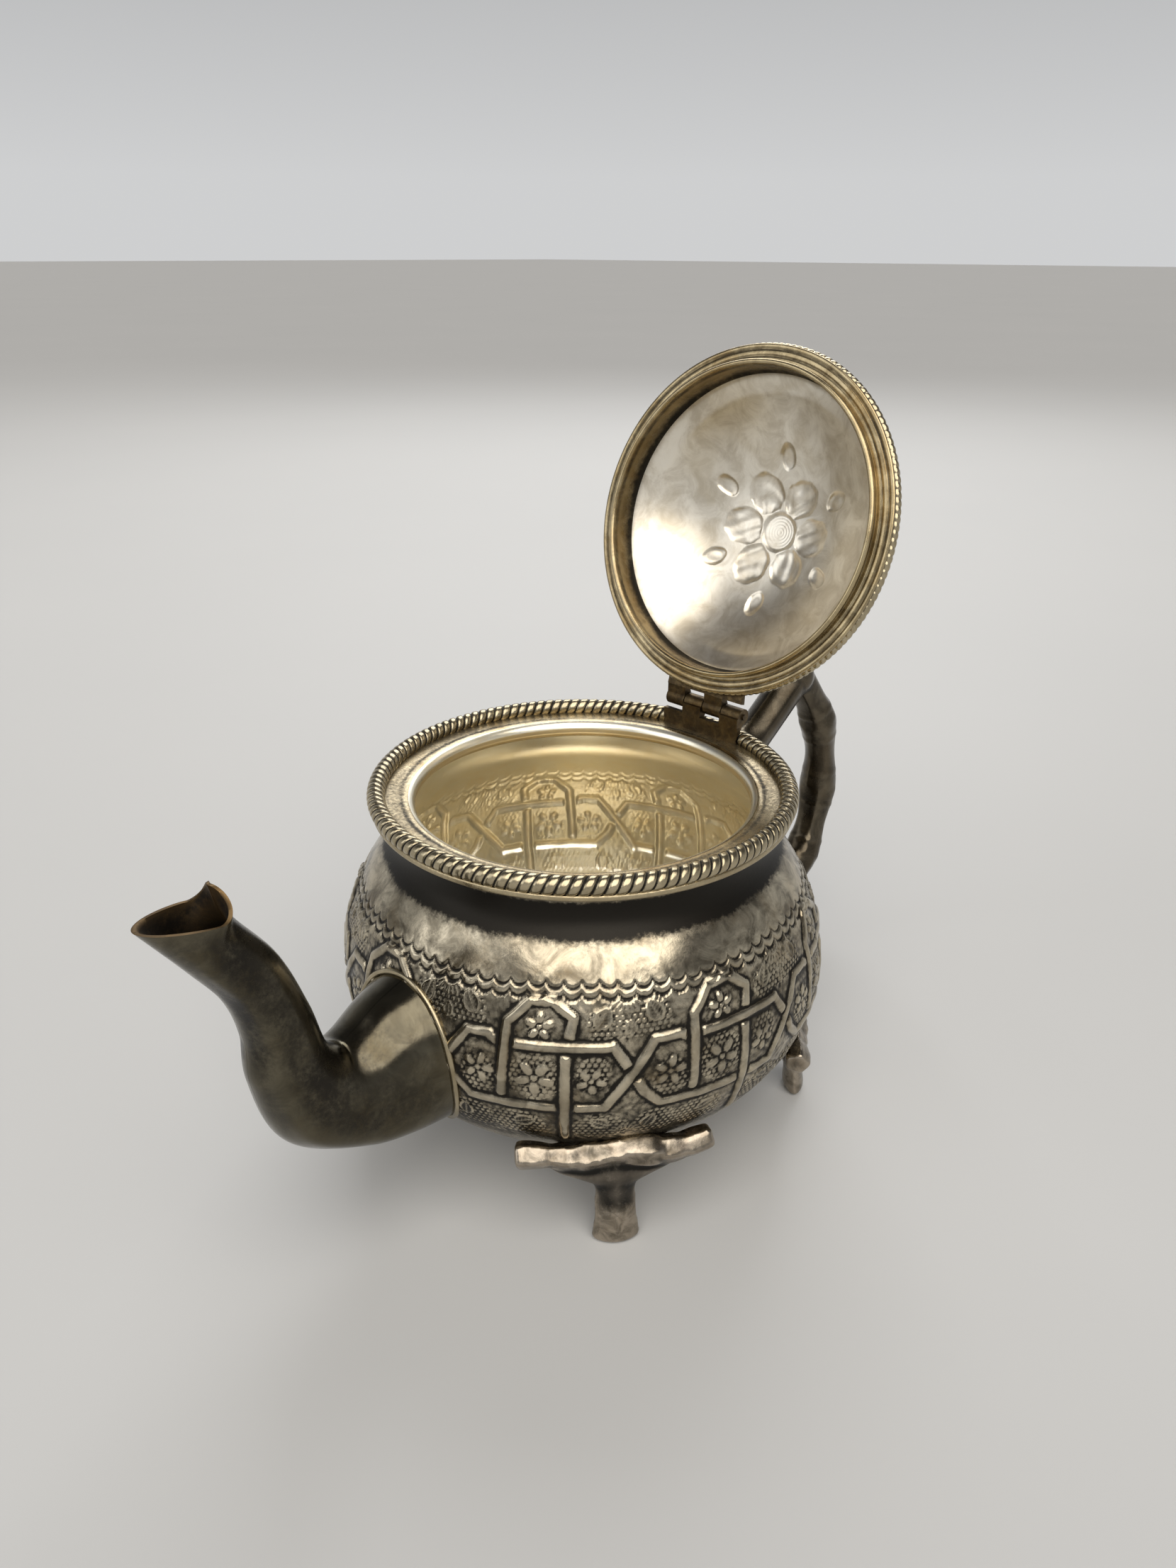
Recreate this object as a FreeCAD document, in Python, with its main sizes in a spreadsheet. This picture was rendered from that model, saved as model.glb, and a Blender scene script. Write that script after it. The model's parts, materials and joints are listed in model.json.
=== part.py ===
import FreeCAD, Part
import math
import operator
import os
import types

import Sketcher
from FreeCAD import Placement, Rotation, Vector

# Silver teapot, lid open. Millimetres, +Z up, the pot's axis on Z, the spout towards -X and the hinge
# and handle towards +X. The lid's pieces are drawn closed and then swung open about the hinge pin.

DOCUMENT = FreeCAD.newDocument("silver_teapot")

# Driving dimensions: alias, value, what it is.
DIMENSIONS = (
    ("wall", 1.2, "sheet thickness of the pot and spout"),
    ("belly_radius", 61.0, "pot at its widest"),
    ("belly_height", 45.0, "height of the widest point"),
    ("base_radius", 32.0, "flat bottom of the pot"),
    ("base_height", 11.0, "bottom of the pot above the table"),
    ("shoulder_radius", 48.5, "where the belly turns into the neck"),
    ("shoulder_height", 77.0, "height of that turn"),
    ("neck_radius", 46.5, "outside of the neck"),
    ("neck_height", 82.1, "where the neck becomes straight"),
    ("neck_sweep", 7.5, "radius of the hollow under the neck"),
    ("mouth_radius", 41.0, "inside of the mouth"),
    ("flange_top", 88.0, "height of the mouth flange"),
    ("flange_thickness", 1.2, "sheet of the mouth flange"),
    ("lip_rise", 1.7, "rolled lip above the flange"),
    ("lip_round", 1.0, "radius of the rolled lip"),
    ("skirt_depth", 3.0, "collar's skirt inside the neck"),
    ("skirt_clearance", 0.1, "skirt to the neck"),
    ("rope_radius", 2.2, "half thickness of the rope border"),
    ("rim_radius", 52.5, "outside of the rope border"),
    ("lid_clearance", 0.3, "closed lid above the lip"),
    ("lid_radius", 45.0, "outside of the lid"),
    ("lid_wall", 1.0, "sheet thickness of the lid"),
    ("lid_edge_wire", 1.2, "radius of the wire round the lid"),
    ("bezel_clearance", 0.7, "bezel to the mouth"),
    ("bezel_thickness", 1.5, "bezel ring"),
    ("bezel_depth", 2.5, "bezel below the lid's edge"),
    ("dome_step", 5.5, "upright wall at the foot of the dome"),
    ("dome_shoulder", 34.5, "radius where the dome's arc begins"),
    ("dome_shoulder_rise", 4.0, "that radius above the upright wall"),
    ("dome_rise", 13.5, "crown above that radius"),
    ("finial_collar_radius", 7.0, "collar under the finial"),
    ("finial_collar_height", 2.4, "collar under the finial"),
    ("finial_radius", 5.6, "bud of the finial"),
    ("finial_stem", 2.4, "stem radius of the finial"),
    ("finial_height", 16.0, "finial above its collar"),
    ("hinge_offset", 4.0, "hinge pin beyond the lid's edge"),
    ("hinge_rise", 6.3, "hinge pin above the closed lid's edge"),
    ("hinge_width", 25.0, "four knuckles side by side"),
    ("knuckle_radius", 2.2, "outside of a knuckle"),
    ("knuckle_gap", 0.3, "between neighbouring knuckles"),
    ("leaf_thickness", 1.4, "plate of the hinge"),
    ("leaf_clearance", 0.6, "lid leaf to body leaf"),
    ("filing_clearance", 0.3, "hinge leaf to the rope or wire it is filed round"),
    ("pin_radius", 0.8, "hinge pin"),
    ("pin_clearance", 0.06, "running clearance of the lid's knuckles"),
    ("pin_fit", 0.01, "clearance in the body's knuckles"),
    ("pin_proud", 0.3, "pin beyond the knuckles"),
    ("open_angle", 106.5, "lid as it stands open"),
    ("spout_height", 42.0, "spout root above the table"),
    ("strap_width", 2.4, "straps of the interlace on the belly"),
    ("strap_rise", 0.8, "straps off the belly"),
    ("bead_width", 1.1, "bead round the spout root"),
    ("bead_height", 1.0, "bead off the pot"),
    ("strainer_hole", 11.5, "radius of the opening into the spout"),
    ("strainer_lap", 1.3, "strainer beyond that opening"),
    ("strainer_sheet", 0.8, "strainer plate"),
    ("strainer_pitch", 4.4, "between strainer holes"),
    ("strainer_drill", 1.4, "radius of a strainer hole"),
    ("lip_reach", 55.0, "tip of the spout's lip beyond the belly"),
    ("lip_height", 58.0, "tip of the lip above the spout's root"),
    ("corner_reach", 43.5, "corners of the spout's mouth beyond the belly"),
    ("corner_height", 56.0, "those corners above the root"),
    ("peak_reach", 41.0, "back of the spout's mouth beyond the belly"),
    ("peak_height", 61.6, "back of the mouth above the root"),
    ("foot_angle", 51.0, "feet from the line of spout and handle"),
    ("toe_reach", 1.5, "toe inside the belly's radius"),
    ("toe_width", 5.2, "half width of the toe"),
    ("toe_depth", 2.9, "half depth of the toe"),
    ("hip_width", 12.0, "half width of the web under the foot bar"),
    ("thigh_width", 7.0, "half width where the web runs into the leg"),
    ("shank_width", 4.3, "half width of the leg"),
    ("shank_depth", 2.5, "half depth of the leg"),
    ("bar_inset", 4.3, "foot bar inside the belly's radius"),
    ("bar_rise", 13.0, "foot bar above the pot's bottom"),
    ("bar_length", 23.0, "half length of the foot bar"),
    ("bar_radius", 2.8, "foot bar"),
    ("bar_knot", 3.5, "knots on the foot bar"),
    ("twig_radius", 4.9, "handle between its knots"),
    ("twig_knot", 6.0, "knots on the handle"),
)

# Spout stations from root to mouth: name, reach beyond the belly, rise above the root, lean from upright,
# half width and how much taller than wide the section is, as a share.
SPOUT_STATIONS = (
    ("root", -15.0, 0.0, 90.0, 16.4, 0.20),
    ("swell", 3.5, -0.2, 90.0, 14.6, 0.20),
    ("belly", 14.0, -0.4, 80.0, 12.2, 0.14),
    ("elbow", 23.5, 4.2, 45.0, 10.3, 0.10),
    ("throat", 28.0, 14.5, 10.0, 8.3, 0.06),
    ("neck", 29.5, 26.0, 12.0, 7.2, 0.02),
    ("sweep", 33.5, 38.5, 28.0, 6.7, 0.01),
    ("beak", 40.5, 50.5, 40.0, 6.7, 0.01),
    ("lip", 49.0, 60.4, 40.0, 7.0, 0.02),
)

# Bays of interlaced straps round the belly, and the azimuth of one bay's left leg.
BAYS = 9
FIRST_LEG = -152.9

# Straight runs of the straps in one bay: name, then for both ends degrees from the left leg and the rise above
# the belly's widest point, as a share of its radius.
STRAP_RUNS = (
    ("leg", (-0.6, -0.023), (0.3, 0.254)),
    ("arch_left", (0.3, 0.254), (4.8, 0.333)),
    ("arch_top", (4.8, 0.333), (10.0, 0.339)),
    ("arch_right", (10.0, 0.339), (14.2, 0.279)),
    ("far_bend", (14.2, 0.279), (12.7, 0.164)),
    ("far_leg", (12.7, 0.164), (12.4, -0.254)),
    ("upper", (-3.4, 0.190), (22.6, 0.182)),
    ("fall", (22.6, 0.182), (28.6, -0.007)),
    ("fall_end", (28.6, -0.007), (32.6, -0.072)),
    ("lower", (-7.6, -0.072), (20.6, -0.070)),
    ("climb", (20.6, -0.070), (31.6, 0.197)),
    ("climb_end", (31.6, 0.197), (36.8, 0.200)),
)

# The bay behind the spout: the runs of it that the spout covers whole, and where its upper run ends under the
# spout.
SPOUT_BAY = 8
COVERED_RUNS = ("fall", "far_leg")
COVERED_END = (12.7, 0.185)

# Handle knots from the upper root to the lower one: name, reach beyond the belly and rise above its widest
# point.
HANDLE_KNOTS = (
    ("upper_root", -17.0, 32.5),
    ("upper_bend", 2.0, 30.5),
    ("crown", 33.0, 50.0),
    ("shoulder", 46.5, 30.0),
    ("grip", 50.5, 6.0),
    ("heel", 43.5, -17.0),
    ("lower_bend", 26.0, -27.5),
    ("lower_arm", 4.0, -23.0),
    ("lower_root", -20.0, -17.5),
)

# How much the twig swells at a knot and thins half way to the next, as a share of its radius.
TWIG_WAIST = 0.06


class Size:
    """A size that holds its value and the formula that binds it to the sheet."""

    SIGNS = {"+": operator.add, "-": operator.sub, "*": operator.mul, "/": operator.truediv}

    def __init__(self, value, formula=None):
        self.value = float(value)
        self.formula = formula or repr(float(value))

    @classmethod
    def join(cls, first, sign, second):
        """Work out both the value and the formula of two sizes taken together."""
        first = first if isinstance(first, Size) else cls(first)
        second = second if isinstance(second, Size) else cls(second)
        value = cls.SIGNS[sign](first.value, second.value)
        return cls(value, f"({first.formula} {sign} {second.formula})")

    def __add__(self, other):
        return Size.join(self, "+", other)

    def __radd__(self, other):
        return Size.join(other, "+", self)

    def __sub__(self, other):
        return Size.join(self, "-", other)

    def __rsub__(self, other):
        return Size.join(other, "-", self)

    def __mul__(self, other):
        return Size.join(self, "*", other)

    def __rmul__(self, other):
        return Size.join(other, "*", self)

    def __truediv__(self, other):
        return Size.join(self, "/", other)

    def __neg__(self):
        return Size.join(0.0, "-", self)


def make_sheet():
    """Fill the spreadsheet and return its cells as sizes."""
    sheet = DOCUMENT.addObject("Spreadsheet::Sheet", "sizes")
    rows = [(alias, value, note) for alias, value, note in DIMENSIONS]
    for name, reach, rise, lean, width, oval in SPOUT_STATIONS:
        rows.append((f"spout_{name}_reach", reach, "spout station beyond the belly"))
        rows.append((f"spout_{name}_rise", rise, "spout station above the root"))
        rows.append((f"spout_{name}_lean", lean, "spout station's path from upright"))
        rows.append((f"spout_{name}_width", width, "half width of the spout there"))
        rows.append((f"spout_{name}_oval", oval, "how much taller than wide"))
    for name, reach, rise in HANDLE_KNOTS:
        rows.append((f"handle_{name}_reach", reach, "handle knot beyond the belly"))
        rows.append((f"handle_{name}_rise", rise, "handle knot above the belly's widest point"))
    cells = {}
    for row, (alias, value, note) in enumerate(rows, start=1):
        sheet.set(f"A{row}", note)
        sheet.set(f"B{row}", str(value))
        sheet.setAlias(f"B{row}", alias)
        cells[alias] = Size(value, f"sizes.{alias}")
    DOCUMENT.recompute()
    return types.SimpleNamespace(**cells)


D = make_sheet()

# Places that several pieces share.
FLANGE_BOTTOM = D.flange_top - D.flange_thickness
LIP_TOP = D.flange_top + D.lip_rise
LID_EDGE = LIP_TOP + D.lid_clearance
ROPE_CENTRE = D.rim_radius - D.rope_radius
BEZEL_OUTER = D.mouth_radius - D.bezel_clearance
BEZEL_INNER = BEZEL_OUTER - D.bezel_thickness
DOME_FOOT = LID_EDGE + D.dome_step
DOME_SHOULDER = DOME_FOOT + D.dome_shoulder_rise
DOME_CROWN = DOME_SHOULDER + D.dome_rise
HINGE_HEIGHT = LID_EDGE + D.hinge_rise
HINGE_REACH = D.lid_radius + D.hinge_offset
SPAN = D.hinge_width / 4


# Helpers

def bind(item, **sizes):
    """Bind properties of an object to sizes; a double underscore stands for a dot."""
    for path, size in sizes.items():
        item.setExpression(path.replace("__", "."), size.formula)
    return item


def add(kind, name, **sizes):
    """Add a Part object whose properties are bound to sizes."""
    return bind(DOCUMENT.addObject(kind, name), **sizes)


def place(item, x=None, y=None, z=None, lean=0.0):
    """Put an object at sizes, turned about -Y by lean degrees, so its X axis leans up."""
    if lean:
        item.Placement = Placement(Vector(), Rotation(Vector(0, -1, 0), lean))
    for axis, size in (("x", x), ("y", y), ("z", z)):
        if size is not None:
            item.setExpression(f"Placement.Base.{axis}", size.formula)
    return item


def new_body(name):
    """Add a PartDesign body."""
    return DOCUMENT.addObject("PartDesign::Body", name)


def new_sketch(body, name, role):
    """Add a sketch on one of the body's own origin planes."""
    sketch = body.newObject("Sketcher::SketchObject", name)
    plane = next(item for item in body.Origin.OriginFeatures if item.Role == role)
    sketch.AttachmentSupport = [(plane, "")]
    sketch.MapMode = "FlatFace"
    return sketch


def arc_between(first, last, centre, clockwise):
    """Return an arc from first to last round centre, and which of its ends is first."""
    begin, finish = (last, first) if clockwise else (first, last)
    angles = [math.atan2(point.y - centre.y, point.x - centre.x) for point in (begin, finish)]
    circle = Part.Circle(centre, Vector(0, 0, 1), (first - centre).Length)
    return Part.ArcOfCircle(circle, angles[0], angles[1]), (2 if clockwise else 1)


def level_centre(first, last, height):
    """Return the centre, at a height, of an arc through two points."""
    across = last.x - first.x
    squares = last.x ** 2 + (last.y - height) ** 2 - first.x ** 2 - (first.y - height) ** 2
    return Vector(squares / (2 * across), height, 0)


def radius_centre(first, last, radius, clockwise):
    """Return the centre of an arc of one radius through two points."""
    chord = last - first
    middle = (first + last) / 2
    side = Vector(-chord.y, chord.x, 0).normalize()
    rise = math.sqrt(max(radius ** 2 - (chord.Length / 2) ** 2, 0.0))
    return middle - side * rise if clockwise else middle + side * rise


def axis_centre(first, last):
    """Return the centre, on the turning axis, of an arc through two points."""
    squares = last.x ** 2 + last.y ** 2 - first.x ** 2 - first.y ** 2
    return Vector(0, squares / (2 * (last.y - first.y)), 0)


def outline(sketch, corners):
    """Draw a closed outline through corners and bind every corner to the sheet.

    A corner is (x, y) or (x, y, bend): bend says how the outline goes on from it to the next corner,
    as ("level", height, clockwise), ("radius", radius, clockwise) or ("axis", None, clockwise).
    """
    points = [Vector(corner[0].value, corner[1].value, 0) for corner in corners]
    edges = []
    for index, corner in enumerate(corners):
        first, last = points[index], points[(index + 1) % len(points)]
        bend = corner[2] if len(corner) > 2 else None
        if bend is None:
            edges.append((sketch.addGeometry(Part.LineSegment(first, last)), 1))
            continue
        kind, size, clockwise = bend
        if kind == "level":
            centre = level_centre(first, last, size.value)
        elif kind == "axis":
            centre = axis_centre(first, last)
        else:
            centre = radius_centre(first, last, size.value, clockwise)
        arc, start = arc_between(first, last, centre, clockwise)
        edge = sketch.addGeometry(arc)
        edges.append((edge, start))
        if kind == "level":
            fix_point(sketch, edge, 3, None, size)
        elif kind == "axis":
            sketch.addConstraint(Sketcher.Constraint("PointOnObject", edge, 3, -2))
        else:
            index_made = sketch.addConstraint(Sketcher.Constraint("Radius", edge, size.value))
            sketch.setExpression(f"Constraints[{index_made}]", size.formula)
    for index, corner in enumerate(corners):
        edge, start = edges[index]
        before, before_start = edges[index - 1]
        sketch.addConstraint(Sketcher.Constraint("Coincident", before, 3 - before_start, edge, start))
        fix_point(sketch, edge, start, corner[0], corner[1])


def fix_point(sketch, edge, end, x, y):
    """Hold one point of an edge at sizes; a size of nought puts it on the axis."""
    for kind, size, axis in (("DistanceX", x, -2), ("DistanceY", y, -1)):
        if size is None:
            continue
        if size.value == 0.0:
            sketch.addConstraint(Sketcher.Constraint("PointOnObject", edge, end, axis))
            continue
        index = sketch.addConstraint(Sketcher.Constraint(kind, -1, 1, edge, end, size.value))
        sketch.setExpression(f"Constraints[{index}]", size.formula)


def turned(name, corners):
    """Turn an outline once round Z and return its body."""
    body = new_body(name)
    sketch = new_sketch(body, f"{name}_outline", "XZ_Plane")
    outline(sketch, corners)
    turn = body.newObject("PartDesign::Revolution", f"{name}_turn")
    turn.Profile = sketch
    turn.ReferenceAxis = (sketch, ["V_Axis"])
    turn.Angle = 360
    body.Tip = turn
    return body


def turned_ring(name, radius, height, thickness):
    """Turn a round wire into a ring about Z and return its body."""
    body = new_body(name)
    sketch = new_sketch(body, f"{name}_outline", "XZ_Plane")
    bound_circle(sketch, radius, height, thickness)
    turn = body.newObject("PartDesign::Revolution", f"{name}_turn")
    turn.Profile = sketch
    turn.ReferenceAxis = (sketch, ["V_Axis"])
    turn.Angle = 360
    body.Tip = turn
    return body


def bound_circle(sketch, x, y, radius):
    """Draw a circle and bind its centre and radius to the sheet."""
    circle = Part.Circle(Vector(x.value, y.value, 0), Vector(0, 0, 1), radius.value)
    edge = sketch.addGeometry(circle)
    fix_point(sketch, edge, 3, x, y)
    index = sketch.addConstraint(Sketcher.Constraint("Radius", edge, radius.value))
    sketch.setExpression(f"Constraints[{index}]", radius.formula)


def plate(name, corners, width):
    """Pad an outline in the XZ plane evenly to both sides of Y and return its body."""
    body = new_body(name)
    sketch = new_sketch(body, f"{name}_outline", "XZ_Plane")
    outline(sketch, corners)
    pad = body.newObject("PartDesign::Pad", f"{name}_pad")
    pad.Profile = sketch
    pad.Midplane = True
    bind(pad, Length=width)
    body.Tip = pad
    return body


def cut(name, base, tool):
    """Take a tool away from a base."""
    item = DOCUMENT.addObject("Part::Cut", name)
    item.Base = base
    item.Tool = tool
    return item


def common(name, base, tool):
    """Keep what two objects share."""
    item = DOCUMENT.addObject("Part::Common", name)
    item.Base = base
    item.Tool = tool
    return item


def fuse(name, items):
    """Join objects into one solid."""
    item = DOCUMENT.addObject("Part::MultiFuse", name)
    item.Shapes = items
    item.Refine = True
    return item


def loft(name, sections):
    """Loft a solid through sections."""
    item = DOCUMENT.addObject("Part::Loft", name)
    item.Sections = sections
    item.Solid = True
    item.Ruled = False
    return item


def box_across(name, size, side):
    """Return a large box on one side of the plane through spout and handle."""
    box = add("Part::Box", name, Length=size, Width=size, Height=size)
    shift = Size(0.0) if side > 0 else -size
    return place(box, x=-size, y=shift, z=Size(0.0))


# The pot

def pot_outside(grow):
    """Return the outer corners of the pot from its bottom up to the neck, grown sideways."""
    return [
        (D.base_radius + grow, D.base_height, ("level", D.belly_height, False)),
        (D.belly_radius + grow, D.belly_height, ("level", D.belly_height, False)),
        (D.shoulder_radius + grow, D.shoulder_height, ("radius", D.neck_sweep, True)),
        (D.neck_radius + grow, D.neck_height),
        (D.neck_radius + grow, FLANGE_BOTTOM),
    ]


def make_envelope(name, grow):
    """Turn the pot's outside as a filled solid, which trims what seats on the pot."""
    axis = Size(0.0)
    corners = [(axis, D.base_height)] + pot_outside(grow) + [(axis, FLANGE_BOTTOM)]
    return turned(name, corners)


def make_bowl():
    """Turn the hollow pot and open it where the spout begins."""
    axis = Size(0.0)
    inside = [
        (D.neck_radius - D.wall, FLANGE_BOTTOM),
        (D.neck_radius - D.wall, D.neck_height, ("radius", D.neck_sweep + D.wall, False)),
        (D.shoulder_radius - D.wall * 0.75, D.shoulder_height - D.wall * 0.65,
         ("level", D.belly_height, True)),
        (D.belly_radius - D.wall, D.belly_height, ("level", D.belly_height, True)),
        (D.base_radius - D.wall * 0.3, D.base_height + D.wall),
        (axis, D.base_height + D.wall),
    ]
    body = turned("body_bowl", [(axis, D.base_height)] + pot_outside(Size(0.0)) + inside)
    sketch = new_sketch(body, "spout_opening", "YZ_Plane")
    bound_circle(sketch, Size(0.0), D.spout_height, D.strainer_hole)
    pocket = body.newObject("PartDesign::Pocket", "spout_opening_cut")
    pocket.Profile = sketch
    bind(pocket, Length=D.belly_radius * 2)
    body.Tip = pocket
    return body


def strap_bar(name, azimuth, first, last):
    """Return a bar through the belly's wall along one straight run of a strap.

    Its ends are degrees from an azimuth and rises as shares of the belly's radius.
    """
    turn = math.radians(azimuth + (first[0] + last[0]) / 2)
    across, climb = math.radians(last[0] - first[0]), last[1] - first[1]
    slope = math.atan2(climb, across)
    length = D.belly_radius * math.hypot(across, climb) + D.strap_width
    bar = add("Part::Box", name, Length=D.belly_radius / 2, Width=length, Height=D.strap_width)
    bar.Placement = Placement(Vector(), Rotation(Vector(0, 0, 1), math.degrees(turn)).multiply(
        Rotation(Vector(1, 0, 0), math.degrees(slope))))
    inner = D.belly_radius * 0.7
    side = D.strap_width * (math.sin(slope) / 2) - length * (math.cos(slope) / 2)
    middle = D.belly_height + D.belly_radius * ((first[1] + last[1]) / 2)
    return place(bar, x=inner * math.cos(turn) - side * math.sin(turn),
                 y=inner * math.sin(turn) + side * math.cos(turn),
                 z=middle - length * (math.sin(slope) / 2) - D.strap_width * (math.cos(slope) / 2))


def make_strapwork(envelope, spout):
    """Keep of a fatter pot's skin what the straps cover, clear of the spout's root."""
    bars = []
    for bay in range(BAYS):
        azimuth = FIRST_LEG + bay * 360.0 / BAYS
        for name, first, last in STRAP_RUNS:
            if bay == SPOUT_BAY and name in COVERED_RUNS:
                continue
            if bay == SPOUT_BAY and name == "upper":
                last = COVERED_END
            bars.append(strap_bar(f"strap_{bay}_{name}", azimuth, first, last))
    skin = cut("strap_skin", make_envelope("strap_envelope", D.strap_rise), envelope)
    cage = common("strap_cage", skin, fuse("strap_bars", bars))
    return cut("strapwork", cage, spout)


def make_collar():
    """Turn the mouth flange with its rolled lip and the skirt that seats in the neck."""
    roll = D.lip_round
    skirt = D.neck_radius - D.wall - D.skirt_clearance
    corners = [
        (D.mouth_radius, FLANGE_BOTTOM),
        (skirt - D.wall, FLANGE_BOTTOM),
        (skirt - D.wall, FLANGE_BOTTOM - D.skirt_depth),
        (skirt, FLANGE_BOTTOM - D.skirt_depth),
        (skirt, FLANGE_BOTTOM),
        (D.rim_radius - D.rope_radius * 0.3, FLANGE_BOTTOM),
        (D.rim_radius - D.rope_radius * 0.3, D.flange_top),
        (D.mouth_radius + roll * 2, D.flange_top),
        (D.mouth_radius + roll * 2, LIP_TOP - roll, ("radius", roll, False)),
        (D.mouth_radius + roll, LIP_TOP, ("radius", roll, False)),
        (D.mouth_radius, LIP_TOP - roll),
    ]
    return turned("mouth_collar", corners)


def make_rope(name, grow):
    """Lay the rope border as a ring on the flange, made fatter by grow."""
    return turned_ring(name, ROPE_CENTRE, D.flange_top + D.rope_radius, D.rope_radius + grow)


# The spout

def spout_section(station, offset, label):
    """Return the ellipse of one spout station, made larger or smaller by an offset."""
    name = station[0]
    cells = vars(D)
    width = cells[f"spout_{name}_width"]
    half_width = width + offset
    half_height = width * (1 + cells[f"spout_{name}_oval"]) + offset
    section = add("Part::Ellipse", f"{label}_{name}", MajorRadius=half_height, MinorRadius=half_width)
    reach = -(D.belly_radius + cells[f"spout_{name}_reach"])
    rise = D.spout_height + cells[f"spout_{name}_rise"]
    return place(section, x=reach, z=rise, lean=cells[f"spout_{name}_lean"].value)


def make_mouth_cutter():
    """Pad the space over the mouth: down from the lip to its corners, then up to the peak at the back."""
    lip = -(D.belly_radius + D.lip_reach)
    corner = -(D.belly_radius + D.corner_reach)
    peak = -(D.belly_radius + D.peak_reach)
    back = peak + D.belly_radius / 4
    peak_top = D.spout_height + D.peak_height
    over = peak_top + D.belly_radius / 4
    return plate("mouth_cutter", [
        (lip, D.spout_height + D.lip_height),
        (corner, D.spout_height + D.corner_height),
        (peak, peak_top),
        (back, peak_top),
        (back, over),
        (lip, over),
    ], D.belly_radius)


def make_spout(envelope):
    """Loft the spout, hollow it, seat it on the pot, cut its mouth and split it into two halves."""
    outer = loft("spout_outer", [spout_section(item, Size(0.0), "outer") for item in SPOUT_STATIONS])
    inner = loft("spout_inner", [spout_section(item, -D.wall, "inner") for item in SPOUT_STATIONS])
    shell = cut("spout_shell", outer, inner)
    seated = cut("spout_seated", shell, envelope)
    open_spout = cut("spout_open", seated, make_mouth_cutter())
    left = common("spout_left_half", open_spout, box_across("left_side", D.belly_radius * 4, 1))
    right = common("spout_right_half", open_spout, box_across("right_side", D.belly_radius * 4, -1))
    return outer, left, right


def make_root_bead(outer, envelope):
    """Keep the band where a fatter spout meets a fatter pot: the bead, returned after the fatter spout."""
    fatter = loft("bead_outer", [spout_section(item, D.bead_width, "bead") for item in SPOUT_STATIONS])
    band = cut("bead_band", fatter, outer)
    skin = cut("bead_skin", make_envelope("bead_envelope", D.bead_height), envelope)
    return fatter, common("spout_root_bead", band, skin)


def make_strainer(envelope):
    """Shape a pierced plate on the pot's outside over the opening into the spout."""
    radius = D.strainer_hole + D.strainer_lap
    disc = along_x("strainer_disc", radius, Size(0.0), Size(0.0))
    skin = cut("strainer_skin", make_envelope("strainer_envelope", D.strainer_sheet), envelope)
    blank = common("strainer_blank", disc, skin)
    drills = []
    for row in (-2, -1, 0, 1, 2):
        for column in range(5 - abs(row)):
            across = D.strainer_pitch * (column - (4 - abs(row)) / 2)
            rise = D.strainer_pitch * (row * math.sin(math.radians(60)))
            drills.append(along_x(f"drill_{row + 3}_{column}", D.strainer_drill, across, rise))
    return cut("strainer_plate", blank, fuse("strainer_drills", drills))


def along_x(name, radius, across, rise):
    """Return a rod from the axis out along -X at the height of the spout root."""
    rod = add("Part::Cylinder", name, Radius=radius, Height=D.belly_radius * 2)
    rod.Placement = Placement(Vector(), Rotation(Vector(0, -1, 0), 90))
    return place(rod, y=across, z=D.spout_height + rise)


# The handle

def twig_section(name, centre, heading, radius):
    """Return a circle square to a heading in the XZ plane."""
    ring = add("Part::Circle", name, Radius=radius)
    turn = math.degrees(math.atan2(heading[0].value, heading[1].value))
    ring.Placement = Placement(Vector(), Rotation(Vector(0, 1, 0), turn))
    return place(ring, x=centre[0], z=centre[1])


def curve_through(before, first, last, after, weights):
    """Return one coordinate of a smooth curve as a weighted sum of four knots' coordinates."""
    total = before * weights[0]
    for knot, weight in zip((first, last, after), weights[1:]):
        total = total + knot * weight
    return total


def curve_weights(share):
    """Return four knots' weights for the place and the heading, part way from the second to the third."""
    square, cube = share ** 2, share ** 3
    place_weights = (-0.5 * cube + square - 0.5 * share, 1.5 * cube - 2.5 * square + 1.0,
                     -1.5 * cube + 2.0 * square + 0.5 * share, 0.5 * cube - 0.5 * square)
    heading_weights = (-1.5 * square + 2.0 * share - 0.5, 4.5 * square - 5.0 * share,
                       -4.5 * square + 4.0 * share + 0.5, 1.5 * square - share)
    return place_weights, heading_weights


def twig_length(name, knots):
    """Loft one unbroken length of twig through its knots, waisted between them."""
    steps = 3
    first, last = knots[0], knots[-1]
    ahead = tuple(first[axis] * 2 - knots[1][axis] for axis in (0, 1))
    beyond = tuple(last[axis] * 2 - knots[-2][axis] for axis in (0, 1))
    padded = [ahead] + knots + [beyond]
    sections = []
    for index in range(1, len(padded) - 2):
        four = padded[index - 1:index + 3]
        final = index == len(padded) - 3
        for step in range(steps + 1 if final else steps):
            share = step / steps
            place_weights, heading_weights = curve_weights(share)
            centre = [curve_through(*(knot[axis] for knot in four), place_weights) for axis in (0, 1)]
            heading = [curve_through(*(knot[axis] for knot in four), heading_weights) for axis in (0, 1)]
            girth = 1.0 + TWIG_WAIST * math.cos(2 * math.pi * share)
            sections.append(twig_section(f"{name}_{index}_{step}", centre, heading, D.twig_radius * girth))
    return loft(name, sections)


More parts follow.
